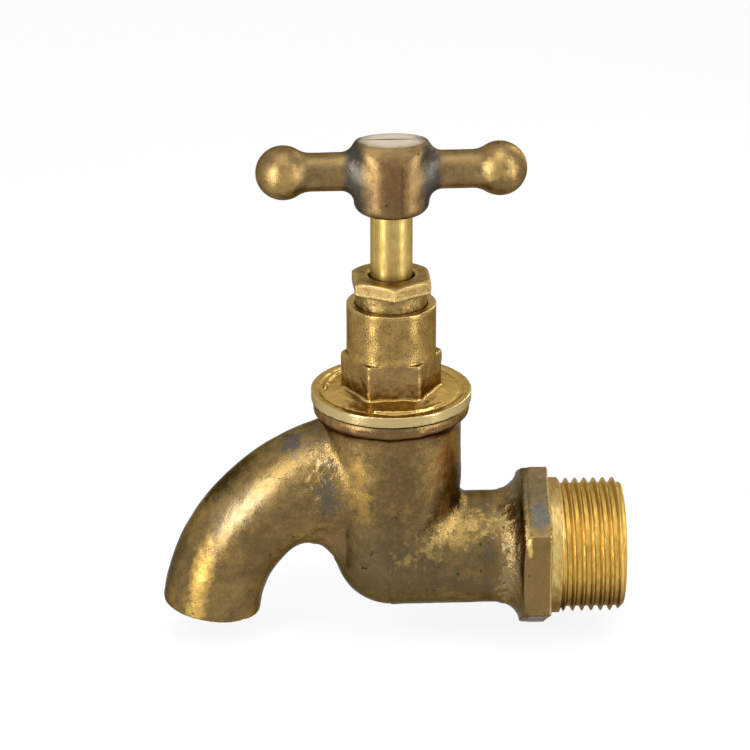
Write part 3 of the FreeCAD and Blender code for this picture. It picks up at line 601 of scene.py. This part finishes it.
HANDLE_TURN = math.radians(1.5)
ARM_HEIGHT = 77.8
ARM_RADIUS = 3.65
ARM_FILLET = 2.5
BALL_PLACE = 20.35
BALL_RADIUS = 5.15
BALL_FILLET = 4.6
FILLET_RUN = math.sqrt((BALL_RADIUS + BALL_FILLET) ** 2 - (ARM_RADIUS + BALL_FILLET) ** 2)
HUB_RADIUS = 7.1
HUB_FLOOR = 69.9
HUB_FLOOR_EDGE = 1.8
HUB_TOP = 83.9
HUB_TOP_EDGE = 0.8
CROWN_RADIUS = 7.25
CROWN_SQUEEZE = 0.62
CROWN_EDGE = 0.7
GROUND_OFF = 0.3
GROUND_EDGE = 0.25
SCREW_HOLE = 2.1
SCREW_HOLE_END = 2.9
SCREW_HOLE_EDGE = 0.2
HANDLE_LAYERS = ((0.03, 0.0, 4.5, 0.0), (0.02, 0.0, 1.8, 3.3))


def arm(reach, radius):
    """Round arm and its ball end, with a fillet between them."""
    bar = np.maximum(radius - ARM_RADIUS, reach - BALL_PLACE)
    ball = span(reach - BALL_PLACE, radius) - BALL_RADIUS
    run = reach - BALL_PLACE + FILLET_RUN
    drop = ARM_RADIUS + BALL_FILLET - radius
    beside = (run > 0.0) & (drop * FILLET_RUN > run * (ARM_RADIUS + BALL_FILLET))
    return np.where(beside, BALL_FILLET - span(run, drop), np.minimum(bar, ball))


def handle(points):
    """Crutch handle: hub with a rounded crown that is ground flat, and two arms with ball ends."""
    x = points[:, 0] * math.cos(HANDLE_TURN) + points[:, 1] * math.sin(HANDLE_TURN)
    y = points[:, 1] * math.cos(HANDLE_TURN) - points[:, 0] * math.sin(HANDLE_TURN)
    z = points[:, 2]
    rise = z - ARM_HEIGHT
    crown = span(y, CROWN_SQUEEZE * x, np.maximum(rise, 0.0)) - CROWN_RADIUS
    hub = trim(trim(span(x, y) - HUB_RADIUS, crown, CROWN_EDGE), HUB_FLOOR - z, HUB_FLOOR_EDGE)
    hub = trim(hub, z - HUB_TOP - GROUND_OFF, HUB_TOP_EDGE)
    result = join(hub, arm(np.abs(x), span(y, rise)), ARM_FILLET)
    result = result + uneven(np.stack([x, y, z], axis=1), HANDLE_LAYERS)
    result = trim(result, z - HUB_TOP, GROUND_EDGE)
    screw = np.maximum(span(x, rise) - SCREW_HOLE, SCREW_HOLE_END - y)
    return trim(result, -screw, SCREW_HOLE_EDGE)


# Materials

MIX_SHARE = 0
MIX_FIRST = 6
MIX_SECOND = 7
MIX_RESULT = 2
PATCH_NOISE = 1.6
PATCH_NOISE_RANGE = (0.3, 0.7)
PATCH_FADE = (1.0, 0.4)
PIT_RIM = (0.3, 0.12)
PIT_FADE = 0.8


class Nodes:
    """Adds shader nodes to one material."""

    def __init__(self, name):
        self.material = bpy.data.materials.new(name)
        self.material.use_nodes = True
        self.tree = self.material.node_tree
        self.tree.nodes.clear()
        self.place = self.add("ShaderNodeTexCoord").outputs["Object"]

    def add(self, kind, inputs=None, **settings):
        """A node with its settings. An input is linked where it is a socket, and set where it is a value."""
        node = self.tree.nodes.new(kind)
        for key, value in settings.items():
            setattr(node, key, value)
        for key, value in (inputs or {}).items():
            if isinstance(value, bpy.types.NodeSocket):
                self.tree.links.new(value, node.inputs[key])
            else:
                node.inputs[key].default_value = value
        return node

    def noise(self, size, detail=3.0, roughness=0.55, place=None):
        """Noise with bumps of a size in millimetres."""
        place = self.place if place is None else place
        return self.add("ShaderNodeTexNoise", {
            "Vector": place, "Scale": 1.0 / (size * MM), "Detail": detail,
            "Roughness": roughness}).outputs["Fac"]

    def stretched(self, scale, turn=(0.0, 0.0, 0.0)):
        """The place on the piece, squeezed along its axes so that noise there is drawn out into streaks."""
        return self.add("ShaderNodeMapping", {
            "Vector": self.place, "Scale": scale, "Rotation": turn}, vector_type="TEXTURE").outputs["Vector"]

    def spread(self, value, low, high, first=0.0, last=1.0):
        """Value taken from the range low to high onto the range first to last."""
        return self.add("ShaderNodeMapRange", {
            "Value": value, "From Min": low, "From Max": high, "To Min": first,
            "To Max": last}).outputs["Result"]

    def sum(self, first, second, kind="ADD"):
        """Two values added up, or put together in another way."""
        return self.add("ShaderNodeMath", {0: first, 1: second}, operation=kind).outputs[0]

    def product(self, first, second):
        """Two values multiplied."""
        return self.sum(first, second, "MULTIPLY")

    def mix(self, share, first, second, blend="MIX"):
        """A share of the second colour over the first. A mix node's colour sockets differ only by number."""
        return self.add("ShaderNodeMix", {MIX_SHARE: share, MIX_FIRST: first, MIX_SECOND: second},
                        data_type="RGBA", blend_type=blend).outputs[MIX_RESULT]

    def height(self):
        """Height above the inlet axis, in millimetres."""
        return self.product(self.add("ShaderNodeSeparateXYZ", {0: self.place}).outputs["Z"], 1.0 / MM)

    def radius(self):
        """Distance from the valve axis, in millimetres."""
        about = self.add("ShaderNodeVectorMath", {0: self.place, 1: (SPINDLE_OFFSET * MM, 0.0, 0.0)},
                         operation="ADD")
        level = self.add("ShaderNodeVectorMath", {0: about.outputs[0], 1: (1.0, 1.0, 0.0)},
                         operation="MULTIPLY")
        length = self.add("ShaderNodeVectorMath", {0: level.outputs[0]}, operation="LENGTH")
        return self.product(length.outputs["Value"], 1.0 / MM)

    def value(self, name):
        """A number that the mesh holds at each point."""
        return self.add("ShaderNodeAttribute", attribute_name=name).outputs["Fac"]

    def near(self, centre, reach, lean, ragged):
        """1 at a place on the piece, and 0 beyond its reach along each axis, with a ragged edge."""
        x, y, z = centre
        inside = self.add("ShaderNodeMapping", {
            "Vector": self.place, "Location": ((x - SPINDLE_OFFSET) * MM, y * MM, z * MM),
            "Rotation": (0.0, math.radians(lean), 0.0), "Scale": [part * MM for part in reach]},
            vector_type="TEXTURE").outputs["Vector"]
        away = self.add("ShaderNodeVectorMath", {0: inside}, operation="LENGTH").outputs["Value"]
        away = self.sum(away, self.spread(self.noise(PATCH_NOISE), *PATCH_NOISE_RANGE, -ragged, ragged))
        return self.spread(away, *PATCH_FADE)

    def pits(self, size, share, seed):
        """Small round pits, 1 at their middle, in a share of the cells of a pattern."""
        shifted = self.add("ShaderNodeVectorMath", {0: self.place, 1: (seed, seed, seed)}, operation="ADD")
        cells = self.add("ShaderNodeTexVoronoi", {"Vector": shifted.outputs[0], "Scale": 1.0 / (size * MM)})
        chosen = self.add("ShaderNodeSeparateColor", {"Color": cells.outputs["Color"]}).outputs["Red"]
        present = self.spread(chosen, share, share * PIT_FADE)
        return self.product(self.spread(cells.outputs["Distance"], *PIT_RIM), present)

    def finish(self, colour, roughness, height, depth, **settings):
        """The surface itself: colour, roughness, and a bump of a depth in millimetres."""
        bump = self.add("ShaderNodeBump", {"Height": height, "Distance": depth * MM, "Strength": 1.0})
        shader = self.add("ShaderNodeBsdfPrincipled", {
            "Base Color": colour, "Roughness": roughness, "Normal": bump.outputs["Normal"], **settings})
        output = self.add("ShaderNodeOutputMaterial")
        self.tree.links.new(shader.outputs["BSDF"], output.inputs["Surface"])
        return self.material


def rgb(red, green, blue):
    """A colour as it shows on a screen, 0 to 255."""
    parts = []
    for part in (red, green, blue):
        share = part / 255.0
        parts.append(share / 12.92 if share <= 0.04045 else ((share + 0.055) / 1.055) ** 2.4)
    return (*parts, 1.0)


# Surfaces, where a noise is its size, detail and roughness, and a spread takes one range onto another

EDGE_TINT = (0.42, 0.4, 0.37, 1.0)
THREAD_TINT = (0.65, 0.58, 0.48, 1.0)
GLOSS_SPREAD = 0.14
CAST_DEPTH = 0.04
CAST_PITS = ((1.5, 0.06, 0.0), (0.55, 0.05, 0.3))
CAST_PIT_COLOUR = rgb(44, 34, 24)
ROUGH_RAGGED = 0.5
ROUGH_GAIN = 4.0


def cast_brass(name, worn, plain, dark, grey, gloss, patches, rough=()):
    """Tumbled cast brass: worn gold over brown, patina in the hollows, stains, painted highlights and painted
    shade in patches, pits and scratches.

    A patch is its centre and reach in millimetres, its lean in degrees, how ragged it is, its colour and its
    strength. A rough patch is its centre, reach and lean.
    """
    make = Nodes(name)
    blotch = make.noise(9.0, 3.0, 0.55)
    cloud = make.noise(2.4, 5.0, 0.65)
    speck = make.noise(0.34, 4.0, 0.7)
    grain = make.noise(0.13, 2.0)
    streak = make.noise(0.5, 4.0, 0.65, make.stretched((1.0, 1.0, 7.0), (0.5, 0.25, 0.0)))
    hollow = make.value("hollow")
    sharp = make.value("sharp")
    mottle = make.sum(make.sum(blotch, cloud), make.product(speck, 0.5))
    colour = make.mix(make.spread(mottle, 1.0, 1.5), plain, worn)
    edge = make.product(make.spread(sharp, 0.15, 0.6, 0.0, 0.8), make.spread(speck, 0.4, 0.6))
    colour = make.mix(edge, colour, worn)
    stain = make.product(make.spread(hollow, 0.25, 1.2, 0.0, 0.75), make.spread(cloud, 0.3, 0.6, 0.4, 1.1))
    colour = make.mix(stain, colour, dark)
    bloom = make.product(make.spread(hollow, 0.25, 0.8, 0.0, 0.8),
                         make.spread(make.noise(2.6, 4.0, 0.65), 0.48, 0.66, 0.0, 0.8))
    colour = make.mix(bloom, colour, grey)
    # Patches: stains and patina, and also painted highlights, painted glints and painted shade.
    for centre, reach, lean, ragged, tone, share in patches:
        colour = make.mix(make.product(make.near(centre, reach, lean, ragged), share), colour, tone)
    colour = make.mix(make.spread(speck, 0.4, 0.3, 0.0, 0.12), colour, dark)
    bright = make.mix(0.5, colour, worn, "ADD")
    colour = make.mix(make.spread(make.sum(speck, streak), 1.08, 1.35, 0.0, 0.6), colour, bright)
    pits = make.sum(make.pits(*CAST_PITS[0]), make.pits(*CAST_PITS[1]), "MAXIMUM")
    colour = make.mix(make.spread(pits, 0.0, 1.0, 0.0, 0.7), colour, CAST_PIT_COLOUR)
    height = make.sum(make.sum(speck, make.product(grain, 0.35)), make.product(streak, 0.6))
    height = make.sum(height, make.product(pits, -1.2))
    coarse = make.noise(0.4, 3.0, 0.6, make.stretched((1.0, 1.0, 4.0), (0.0, 0.8, 0.0)))
    for centre, reach, lean in rough:
        patch = make.near(centre, reach, lean, ROUGH_RAGGED)
        height = make.sum(height, make.product(patch, make.product(coarse, ROUGH_GAIN)))
    roughness = make.spread(make.sum(speck, cloud), 0.75, 1.25, gloss, gloss + GLOSS_SPREAD)
    return make.finish(colour, roughness, height, CAST_DEPTH, Metallic=1.0, **{"Specular Tint": EDGE_TINT})


# Heights over which the flange top gets a painted sheen.
FLANGE_PAINTED_SHEEN = (34.9, 34.4)
LEDGE_DULL = ((35.2, 36.0), (42.2, 41.2))
LEDGE_DULL_COLOUR = rgb(124, 98, 66)
BARREL_DARK = (42.5, 43.5)
BARREL_RIM = (51.3, 51.45)
RIM_RADII = (13.75, 14.0)
RIM_SIDE_RADII = (14.9, 15.2)
TURNED_PITS = (0.8, 0.05, 0.1)
TURNED_PIT_COLOUR = rgb(70, 48, 20)


def turned_brass(name, worn, plain, dark, gloss, depth, pale=None):
    """Machined brass: fine tool marks, worn bright and dull patches, a painted sheen on the flange top, dirt
    in the hollows, a pale rim.
    """
    make = Nodes(name)
    cloud = make.noise(2.2, 5.0, 0.65)
    speck = make.noise(0.3, 4.0, 0.7)
    marks = make.noise(0.22, 3.0, 0.6, make.stretched((12.0, 12.0, 1.0)))
    drawn = make.noise(0.3, 3.0, 0.6, make.stretched((1.0, 1.0, 14.0)))
    hollow = make.value("hollow")
    sharp = make.value("sharp")
    level = make.height()
    bright = make.mix(0.35, worn, worn, "ADD")
    colour = make.mix(make.spread(make.sum(speck, cloud), 0.82, 1.15), plain, worn)
    colour = make.mix(make.spread(make.sum(speck, drawn), 0.92, 0.72, 0.0, 0.45), colour, dark)
    # Painted sheen: the flange top lighter, standing in for its reflection.
    colour = make.mix(make.spread(level, *FLANGE_PAINTED_SHEEN, 0.0, 0.8), colour, bright)
    colour = make.mix(make.spread(hollow, 0.4, 1.3, 0.0, 0.4), colour, dark)
    dull_share = make.product(make.spread(level, *LEDGE_DULL[0]), make.spread(level, *LEDGE_DULL[1]))
    colour = make.mix(make.product(dull_share, 0.55), colour, LEDGE_DULL_COLOUR)
    colour = make.mix(make.spread(level, *BARREL_DARK, 0.0, 0.35), colour, dark)
    edge = make.product(make.spread(sharp, 0.1, 0.45), make.spread(speck, 0.3, 0.6))
    colour = make.mix(edge, colour, worn)
    pits = make.pits(*TURNED_PITS)
    colour = make.mix(make.product(pits, 0.5), colour, TURNED_PIT_COLOUR)
    height = make.sum(make.sum(speck, drawn), make.product(marks, 0.5))
    if pale is not None:
        rim = make.spread(make.radius(), *RIM_RADII)
        lip = make.mix(make.spread(make.radius(), *RIM_SIDE_RADII), worn, pale)
        colour = make.mix(rim, colour, make.mix(make.spread(marks, 0.35, 0.75, 0.0, 0.5), lip, worn))
        colour = make.mix(make.spread(level, *BARREL_RIM, 0.0, 0.5), colour, pale)
        height = make.mix(rim, height, marks)
    height = make.sum(height, make.product(pits, -0.8))
    roughness = make.spread(make.sum(speck, cloud), 0.75, 1.25, gloss, gloss + GLOSS_SPREAD)
    return make.finish(colour, roughness, height, depth, Metallic=1.0, **{"Specular Tint": EDGE_TINT})


# Crests painted pale, partly a painted highlight; flanks painted lighter to offset their shade.
CREST_PAINTED_HIGHLIGHT = rgb(240, 210, 142)
FLANK_PAINTED_LIGHT = rgb(222, 191, 108)
GROOVE = (rgb(208, 176, 90), rgb(172, 137, 62))
LAND = (rgb(206, 182, 118), rgb(170, 140, 74))
THREAD_SHADE = rgb(110, 80, 42)
THREAD_SPECK = rgb(150, 108, 48)
THREAD_ABOVE = (7.0, 13.0)
THREAD_BELOW = (-1.5, -7.5)
THREAD_DEPTH = 0.02


def thread_brass():
    """Freshly cut thread: thin pale crests that are partly a painted highlight, flanks painted lighter
    against their shade, bright gold grooves, and painted shade above and below.
    """
    make = Nodes("thread_brass")
    deep = make.value("hollow")
    stain = make.noise(1.0, 4.0, 0.65, make.stretched((0.5, 2.0, 2.0)))
    speck = make.noise(0.3, 3.0)
    marks = make.noise(0.14, 3.0, 0.6, make.stretched((1.0, 14.0, 14.0)))
    land = make.mix(make.spread(stain, 0.4, 0.62), *LAND)
    groove = make.mix(make.spread(make.sum(stain, marks), 0.85, 1.2), *GROOVE)
    # Pale crests are partly a painted highlight, and the lighter flanks are painted light.
    colour = make.mix(make.spread(deep, 0.0, 0.1), land, CREST_PAINTED_HIGHLIGHT)
    colour = make.mix(make.spread(deep, 0.1, 0.2), colour, FLANK_PAINTED_LIGHT)
    colour = make.mix(make.spread(deep, 0.75, 1.0), colour, groove)
    above = make.spread(make.height(), *THREAD_ABOVE, 0.0, 0.55)
    below = make.spread(make.height(), *THREAD_BELOW, 0.0, 0.9)
    colour = make.mix(make.sum(above, below, "MAXIMUM"), colour, THREAD_SHADE)
    colour = make.mix(make.spread(speck, 0.64, 0.76, 0.0, 0.5), colour, THREAD_SPECK)
    return make.finish(colour, make.spread(stain, 0.35, 0.65, 0.34, 0.48), make.sum(speck, marks),
                       THREAD_DEPTH, Metallic=1.0, **{"Specular Tint": THREAD_TINT})


SATIN_TONES = (rgb(180, 156, 92), rgb(160, 130, 68))
SATIN_STREAK = rgb(198, 176, 118)
SATIN_SPECK = rgb(110, 84, 40)
SATIN_DEPTH = 0.025


def spindle_brass():
    """Drawn bar, satin and pale, with light lengthwise scratches."""
    make = Nodes("spindle_brass")
    cloud = make.noise(2.4, 4.0, 0.6)
    streak = make.noise(0.3, 3.0, 0.6, make.stretched((1.0, 1.0, 14.0)))
    speck = make.noise(0.34, 3.0)
    colour = make.mix(make.spread(cloud, 0.35, 0.65), *SATIN_TONES)
    colour = make.mix(make.spread(streak, 0.45, 0.7, 0.0, 0.5), colour, SATIN_STREAK)
    colour = make.mix(make.spread(speck, 0.62, 0.74, 0.0, 0.7), colour, SATIN_SPECK)
    height = make.sum(streak, make.product(speck, 0.5))
    return make.finish(colour, make.spread(cloud, 0.3, 0.7, 0.32, 0.44), height, SATIN_DEPTH, Metallic=1.0,
                       **{"Specular Tint": EDGE_TINT})


MATT_SPECULAR = 0.2
MATT_SPREAD = 0.15


def dull(name, first, second, size, roughness, depth):
    """A plain washer or packing material, mottled and matt."""
    make = Nodes(name)
    mottle = make.noise(size, 4.0, 0.6)
    colour = make.mix(make.spread(mottle, 0.4, 0.6), first, second)
    gloss = make.spread(mottle, 0.4, 0.6, roughness, roughness + MATT_SPREAD)
    return make.finish(colour, gloss, mottle, depth, **{"Specular IOR Level": MATT_SPECULAR})


def paint(piece, material):
    """Give a piece one material."""
    if not piece.material_slots:
        piece.data.materials.append(material)
    for place in piece.material_slots:
        place.material = material


# Patches: centre, reach, lean, raggedness, colour and strength. Rows marked as painted are painted highlights
# or painted shade.

BODY_PATCHES = (
    ((0.0, -6.0, 0.0), (24.0, 30.0, 14.0), 0.0, 0.3, rgb(86, 75, 54), 0.7),
    # Painted highlight: a pale band down the front left of the spout to its mouth.
    ((-37.7, -9.0, -5.0), (2.6, 5.0, 15.0), 9.0, 0.3, rgb(200, 163, 86), 0.8),
    # Painted shade: darker along the outer left side of the spout, in place of a dark reflection.
    ((-43.6, 0.0, 0.0), (3.0, 9.0, 16.0), 12.0, 0.3, rgb(84, 78, 64), 0.7),
    # Painted dark reflection: a dark band along the top of the spout's bend.
    ((-32.5, -1.0, 16.0), (13.0, 6.0, 2.4), -45.0, 0.3, rgb(60, 51, 34), 0.9),
    # Painted highlight: a paler patch in the middle of the spout's highlight.
    ((-29.5, -8.0, 12.0), (9.0, 6.0, 3.4), -45.0, 0.4, rgb(156, 140, 110), 0.5),
    ((-20.0, -4.0, 25.0), (4.5, 6.0, 3.0), 20.0, 0.5, rgb(82, 80, 78), 0.8),
    ((-12.5, -9.5, 15.0), (2.6, 6.0, 7.0), 0.0, 0.6, rgb(86, 82, 72), 0.8),
    # Painted glint near the root of the spout.
    ((-14.0, -9.0, 21.6), (1.7, 4.0, 2.2), 0.0, 0.9, rgb(184, 160, 120), 0.45),
    ((-25.0, -7.0, 4.0), (7.0, 9.0, 9.0), 0.0, 0.5, rgb(94, 77, 49), 0.55),
    ((-12.0, -8.5, 5.0), (3.4, 7.0, 7.0), 0.0, 0.5, rgb(122, 94, 62), 0.8),
    ((10.5, -8.0, 22.0), (2.2, 5.0, 6.0), 0.0, 0.5, rgb(150, 96, 48), 0.45),
    # Painted highlight: an upright streak on the right of the chamber.
    ((7.5, -10.0, 20.0), (2.5, 5.0, 7.0), 0.0, 0.5, rgb(150, 114, 66), 0.5),
    # Painted highlight: a gold streak left of the chamber's middle.
    ((-6.5, -12.0, 18.0), (3.0, 4.0, 9.0), 0.0, 0.7, rgb(172, 138, 72), 0.55),
    ((1.5, -12.0, 19.0), (5.0, 4.0, 10.0), 0.0, 0.5, rgb(94, 76, 48), 0.7),
    # Painted glints: a golden patch on the neck's upper front.
    ((12.5, -9.0, 7.6), (11.0, 6.0, 4.2), -25.0, 0.7, rgb(176, 148, 84), 0.55),
    # Painted shade under the neck.
    ((12.0, 0.0, -12.0), (20.0, 14.0, 4.0), 0.0, 0.3, rgb(58, 47, 36), 0.85),
    ((22.0, -10.0, -1.0), (1.6, 10.0, 11.0), 0.0, 0.9, rgb(158, 138, 94), 0.5),
    ((24.4, -6.0, 0.0), (1.8, 30.0, 30.0), 0.0, 0.3, rgb(112, 95, 66), 0.75),
    ((22.6, -1.0, 13.6), (2.4, 7.0, 2.6), 40.0, 0.9, rgb(158, 152, 140), 0.6),
    ((22.8, -3.0, -13.4), (2.4, 7.0, 2.6), -40.0, 0.9, rgb(158, 152, 140), 0.6),
    ((27.6, -14.6, -1.0), (6.0, 4.0, 14.0), 0.0, 0.3, rgb(130, 104, 64), 0.75),
    ((27.6, -4.0, 14.6), (6.0, 11.0, 7.0), 0.0, 0.3, rgb(88, 77, 55), 0.85),
    ((28.6, -10.3, 10.8), (3.0, 5.0, 3.6), 0.0, 0.4, rgb(84, 84, 80), 0.85),
    # Painted shade on the inlet hexagon's lower face, in place of its reflection of the floor.
    ((27.6, -11.0, -13.4), (6.0, 8.0, 4.6), 0.0, 0.1, rgb(58, 45, 32), 0.85),
    # Painted highlight: a small arc at the hexagon's front edge.
    ((26.0, -14.5, 6.2), (0.6, 3.0, 2.4), 0.0, 0.3, rgb(220, 186, 110), 0.8),
    ((30.3, 0.0, 0.0), (0.5, 40.0, 40.0), 0.0, 0.0, rgb(210, 184, 122), 0.85),
    ((0.0, 0.0, 29.2), (50.0, 50.0, 3.0), 0.0, 0.3, rgb(110, 82, 52), 0.85))
BODY_ROUGH = (
    ((-12.8, -9.0, 12.0), (3.6, 6.0, 16.0), 0.0),
    ((23.0, 0.0, 0.0), (2.2, 16.0, 16.0), 0.0),
    ((12.0, -9.0, 8.0), (10.0, 6.0, 5.0), 0.0))
HANDLE_PATCHES = (
    ((0.0, 0.0, HUB_TOP), (9.0, 7.0, 0.4), 0.0, 0.0, rgb(238, 224, 202), 1.0),
    ((0.0, 0.0, HUB_TOP), (7.4, 0.4, 0.6), 0.0, 0.0, rgb(110, 96, 78), 1.0),
    ((-7.2, -3.0, 76.0), (2.6, 9.0, 19.0), 0.0, 0.2, rgb(68, 68, 66), 0.9),
    ((7.2, -3.0, 76.0), (2.6, 9.0, 19.0), 0.0, 0.2, rgb(66, 67, 66), 0.9),
    # Painted highlights on the two ball ends.
    ((-20.5, -5.0, 77.6), (3.5, 3.0, 3.5), 0.0, 0.6, rgb(184, 154, 90), 0.35),
    ((19.5, -4.0, 79.8), (3.5, 3.0, 3.5), 0.0, 0.6, rgb(186, 156, 92), 0.5),
    ((0.0, -7.0, 76.5), (5.4, 4.0, 9.0), 0.0, 0.4, rgb(108, 82, 52), 0.8),
    ((1.7, -7.0, 77.0), (0.5, 2.0, 7.5), 0.0, 0.3, rgb(84, 64, 42), 0.6))

CAST = cast_brass(
    "cast_brass", worn=rgb(142, 116, 70), plain=rgb(100, 83, 53), dark=rgb(66, 54, 38),
    grey=rgb(100, 94, 80), gloss=0.22, patches=BODY_PATCHES, rough=BODY_ROUGH)
HANDLE_CAST = cast_brass(
    "handle_brass", worn=rgb(142, 116, 74), plain=rgb(106, 88, 58), dark=rgb(70, 57, 43),
    grey=rgb(78, 78, 76), gloss=0.27, patches=HANDLE_PATCHES)
BONNET_TURNED = turned_brass(
    "bonnet_brass", worn=rgb(180, 147, 86), plain=rgb(126, 101, 58), dark=rgb(90, 71, 42), gloss=0.17,
    depth=0.018, pale=rgb(188, 169, 120))
GLAND_TURNED = turned_brass(
    "gland_brass", worn=rgb(186, 160, 104), plain=rgb(138, 113, 66), dark=rgb(96, 75, 42), gloss=0.33,
    depth=0.045)
THREADED = thread_brass()
SATIN = spindle_brass()
FIBRE = dull("washer_fibre", rgb(40, 24, 18), rgb(28, 18, 14), size=0.5, roughness=0.75, depth=0.03)
RUBBER = dull("washer_rubber", rgb(40, 40, 40), rgb(30, 30, 30), size=0.8, roughness=0.55, depth=0.02)
YARN = dull("packing_yarn", rgb(70, 66, 60), rgb(46, 44, 42), size=0.4, roughness=0.75, depth=0.12)
STEEL = dull("steel_screw", rgb(84, 82, 80), rgb(60, 58, 56), size=0.6, roughness=0.35, depth=0.02)


# Pieces that are seen, and the solids that they stand for

def dress(piece, material, body, slot, *nodes):
    """Dress a piece, let it ride on a body and stand for the named solids."""
    paint(piece, material)
    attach(piece, body)
    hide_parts(*nodes)


dress(carve("casting", casting, low=(-45.6, -16.8, -17.2), high=(30.6, 16.8, 32.0), cell=0.5),
      CAST, "tap", "cast_brass", "tap_body")
dress(make_thread(), THREADED, "tap", "turned_brass", "tap_body")
dress(carve("bonnet_shell", bonnet, low=(-15.8, -15.8, 22.8), high=(15.8, 15.8, 52.0), cell=0.32),
      BONNET_TURNED, "tap", "turned_brass", "bonnet")
dress(carve("gland_nut_shell", gland_nut, low=(-8.8, -8.8, 46.2), high=(8.8, 8.8, 57.6), cell=0.2),
      GLAND_TURNED, "tap", "turned_brass", "gland_nut")
dress(carve("crutch_handle", handle, low=(-26.2, -8.0, 69.4), high=(26.2, 8.0, 84.4), cell=0.32),
      HANDLE_CAST, "spindle", "cast_brass", "handle")

for node, material in (
        ("bonnet_washer", FIBRE),
        ("packing_ring_1", YARN), ("packing_ring_2", YARN), ("packing_ring_3", YARN),
        ("gland_follower", GLAND_TURNED),
        ("jumper_valve", SATIN), ("washer_plate", SATIN), ("washer_nut", SATIN), ("tap_washer", RUBBER),
        ("spindle", SATIN), ("handle_grub_screw", STEEL)):
    paint(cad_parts[node], material)


# Floor, light and camera

AIM = Vector((-33.4, 0.0, 36.45)) * MM
CAMERA_AZIMUTH = math.radians(-2.5)
CAMERA_ELEVATION = math.radians(22.4)
CAMERA_DISTANCE = 0.7
LENS = 175.68
FLOOR_HEIGHT = cad_bounds[0][2]
FLOOR_REACH = 3.0
FLOOR_GREY = (0.9, 0.9, 0.9, 1.0)
FLOOR_ROUGHNESS = 0.9
SEEN_WHITE = 0.86
WORLD_LIGHT = 0.7
WORLD_SEEN = 1.0

# Softboxes: azimuth and elevation in degrees, distance, width and height in metres, and radiance

SOFTBOXES = {
    "left_softbox": (-46.0, 10.0, 0.19, 0.03, 0.28, 15.0),
    "right_softbox": (60.0, 14.0, 0.19, 0.026, 0.26, 11.0),
    "top_softbox": (-10.0, 80.0, 1.0, 0.8, 0.8, 1.6),
    "back_softbox": (140.0, 20.0, 0.3, 0.05, 0.3, 6.0)}


def seen_share(tree):
    """1 for rays from the camera, from gloss and through glass, and 0 for rays that light the object."""
    path = tree.nodes.new("ShaderNodeLightPath")
    total = path.outputs["Is Camera Ray"]
    for name in ("Is Glossy Ray", "Is Transmission Ray"):
        adder = tree.nodes.new("ShaderNodeMath")
        adder.operation = "ADD"
        adder.use_clamp = True
        tree.links.new(total, adder.inputs[0])
        tree.links.new(path.outputs[name], adder.inputs[1])
        total = adder.outputs[0]
    return total


def make_floor():
    """Pale floor that shows white and keeps the shadow."""
    mesh = bpy.data.meshes.new("floor")
    signs = ((-1, -1), (1, -1), (1, 1), (-1, 1))
    corners = [(x * FLOOR_REACH, y * FLOOR_REACH, FLOOR_HEIGHT) for x, y in signs]
    mesh.from_pydata(corners, [], [(0, 1, 2, 3)])
    floor = bpy.data.objects.new("floor", mesh)
    bpy.context.scene.collection.objects.link(floor)
    material = bpy.data.materials.new("floor")
    material.use_nodes = True
    tree = material.node_tree
    matt = tree.nodes["Principled BSDF"]
    matt.inputs["Base Color"].default_value = FLOOR_GREY
    matt.inputs["Roughness"].default_value = FLOOR_ROUGHNESS
    white = tree.nodes.new("ShaderNodeEmission")
    blend = tree.nodes.new("ShaderNodeMixShader")
    share = tree.nodes.new("ShaderNodeMath")
    share.operation = "MULTIPLY"
    share.inputs[1].default_value = SEEN_WHITE
    tree.links.new(seen_share(tree), share.inputs[0])
    tree.links.new(share.outputs[0], blend.inputs["Fac"])
    tree.links.new(matt.outputs["BSDF"], blend.inputs[1])
    tree.links.new(white.outputs["Emission"], blend.inputs[2])
    tree.links.new(blend.outputs["Shader"], tree.nodes["Material Output"].inputs["Surface"])
    mesh.materials.append(material)


def make_world():
    """White surroundings, dimmer where they light the object."""
    world = bpy.data.worlds.new("studio")
    bpy.context.scene.world = world
    world.use_nodes = True
    tree = world.node_tree
    background = tree.nodes["Background"]
    background.inputs["Color"].default_value = (1.0, 1.0, 1.0, 1.0)
    level = tree.nodes.new("ShaderNodeMapRange")
    level.inputs["To Min"].default_value = WORLD_LIGHT
    level.inputs["To Max"].default_value = WORLD_SEEN
    tree.links.new(seen_share(tree), level.inputs["Value"])
    tree.links.new(level.outputs["Result"], background.inputs["Strength"])


def direction(azimuth, elevation):
    """Way from the tap to a place, with the azimuth anticlockwise from -Y as seen from above."""
    return Vector((math.sin(azimuth) * math.cos(elevation), -math.cos(azimuth) * math.cos(elevation),
                   math.sin(elevation)))


def make_softbox(name, azimuth, elevation, distance, width, height, radiance):
    """Soft lamp that looks at the tap, at an azimuth from the camera's."""
    back = direction(CAMERA_AZIMUTH + math.radians(azimuth), math.radians(elevation))
    lamp = bpy.data.lights.new(name, "AREA")
    lamp.shape = "RECTANGLE"
    lamp.size = width
    lamp.size_y = height
    lamp.energy = math.pi * width * height * radiance
    holder = bpy.data.objects.new(name, lamp)
    bpy.context.scene.collection.objects.link(holder)
    holder.location = AIM + back * distance
    holder.rotation_euler = back.to_track_quat("Z", "Y").to_euler()
    holder.visible_camera = False


def make_camera():
    """The photograph's view: a long lens, from a little left of square and looking down."""
    back = direction(CAMERA_AZIMUTH, CAMERA_ELEVATION)
    right = Vector((math.cos(CAMERA_AZIMUTH), math.sin(CAMERA_AZIMUTH), 0.0))
    turn = Matrix((right, back.cross(right), back)).transposed().to_4x4()
    lens = bpy.data.cameras.new("camera")
    lens.lens = LENS
    camera = bpy.data.objects.new("camera", lens)
    bpy.context.scene.collection.objects.link(camera)
    camera.matrix_world = Matrix.Translation(AIM + back * CAMERA_DISTANCE) @ turn
    bpy.context.scene.camera = camera


make_floor()
make_world()
for name, values in SOFTBOXES.items():
    make_softbox(name, *values)
make_camera()
bpy.context.scene.view_settings.view_transform = "Standard"
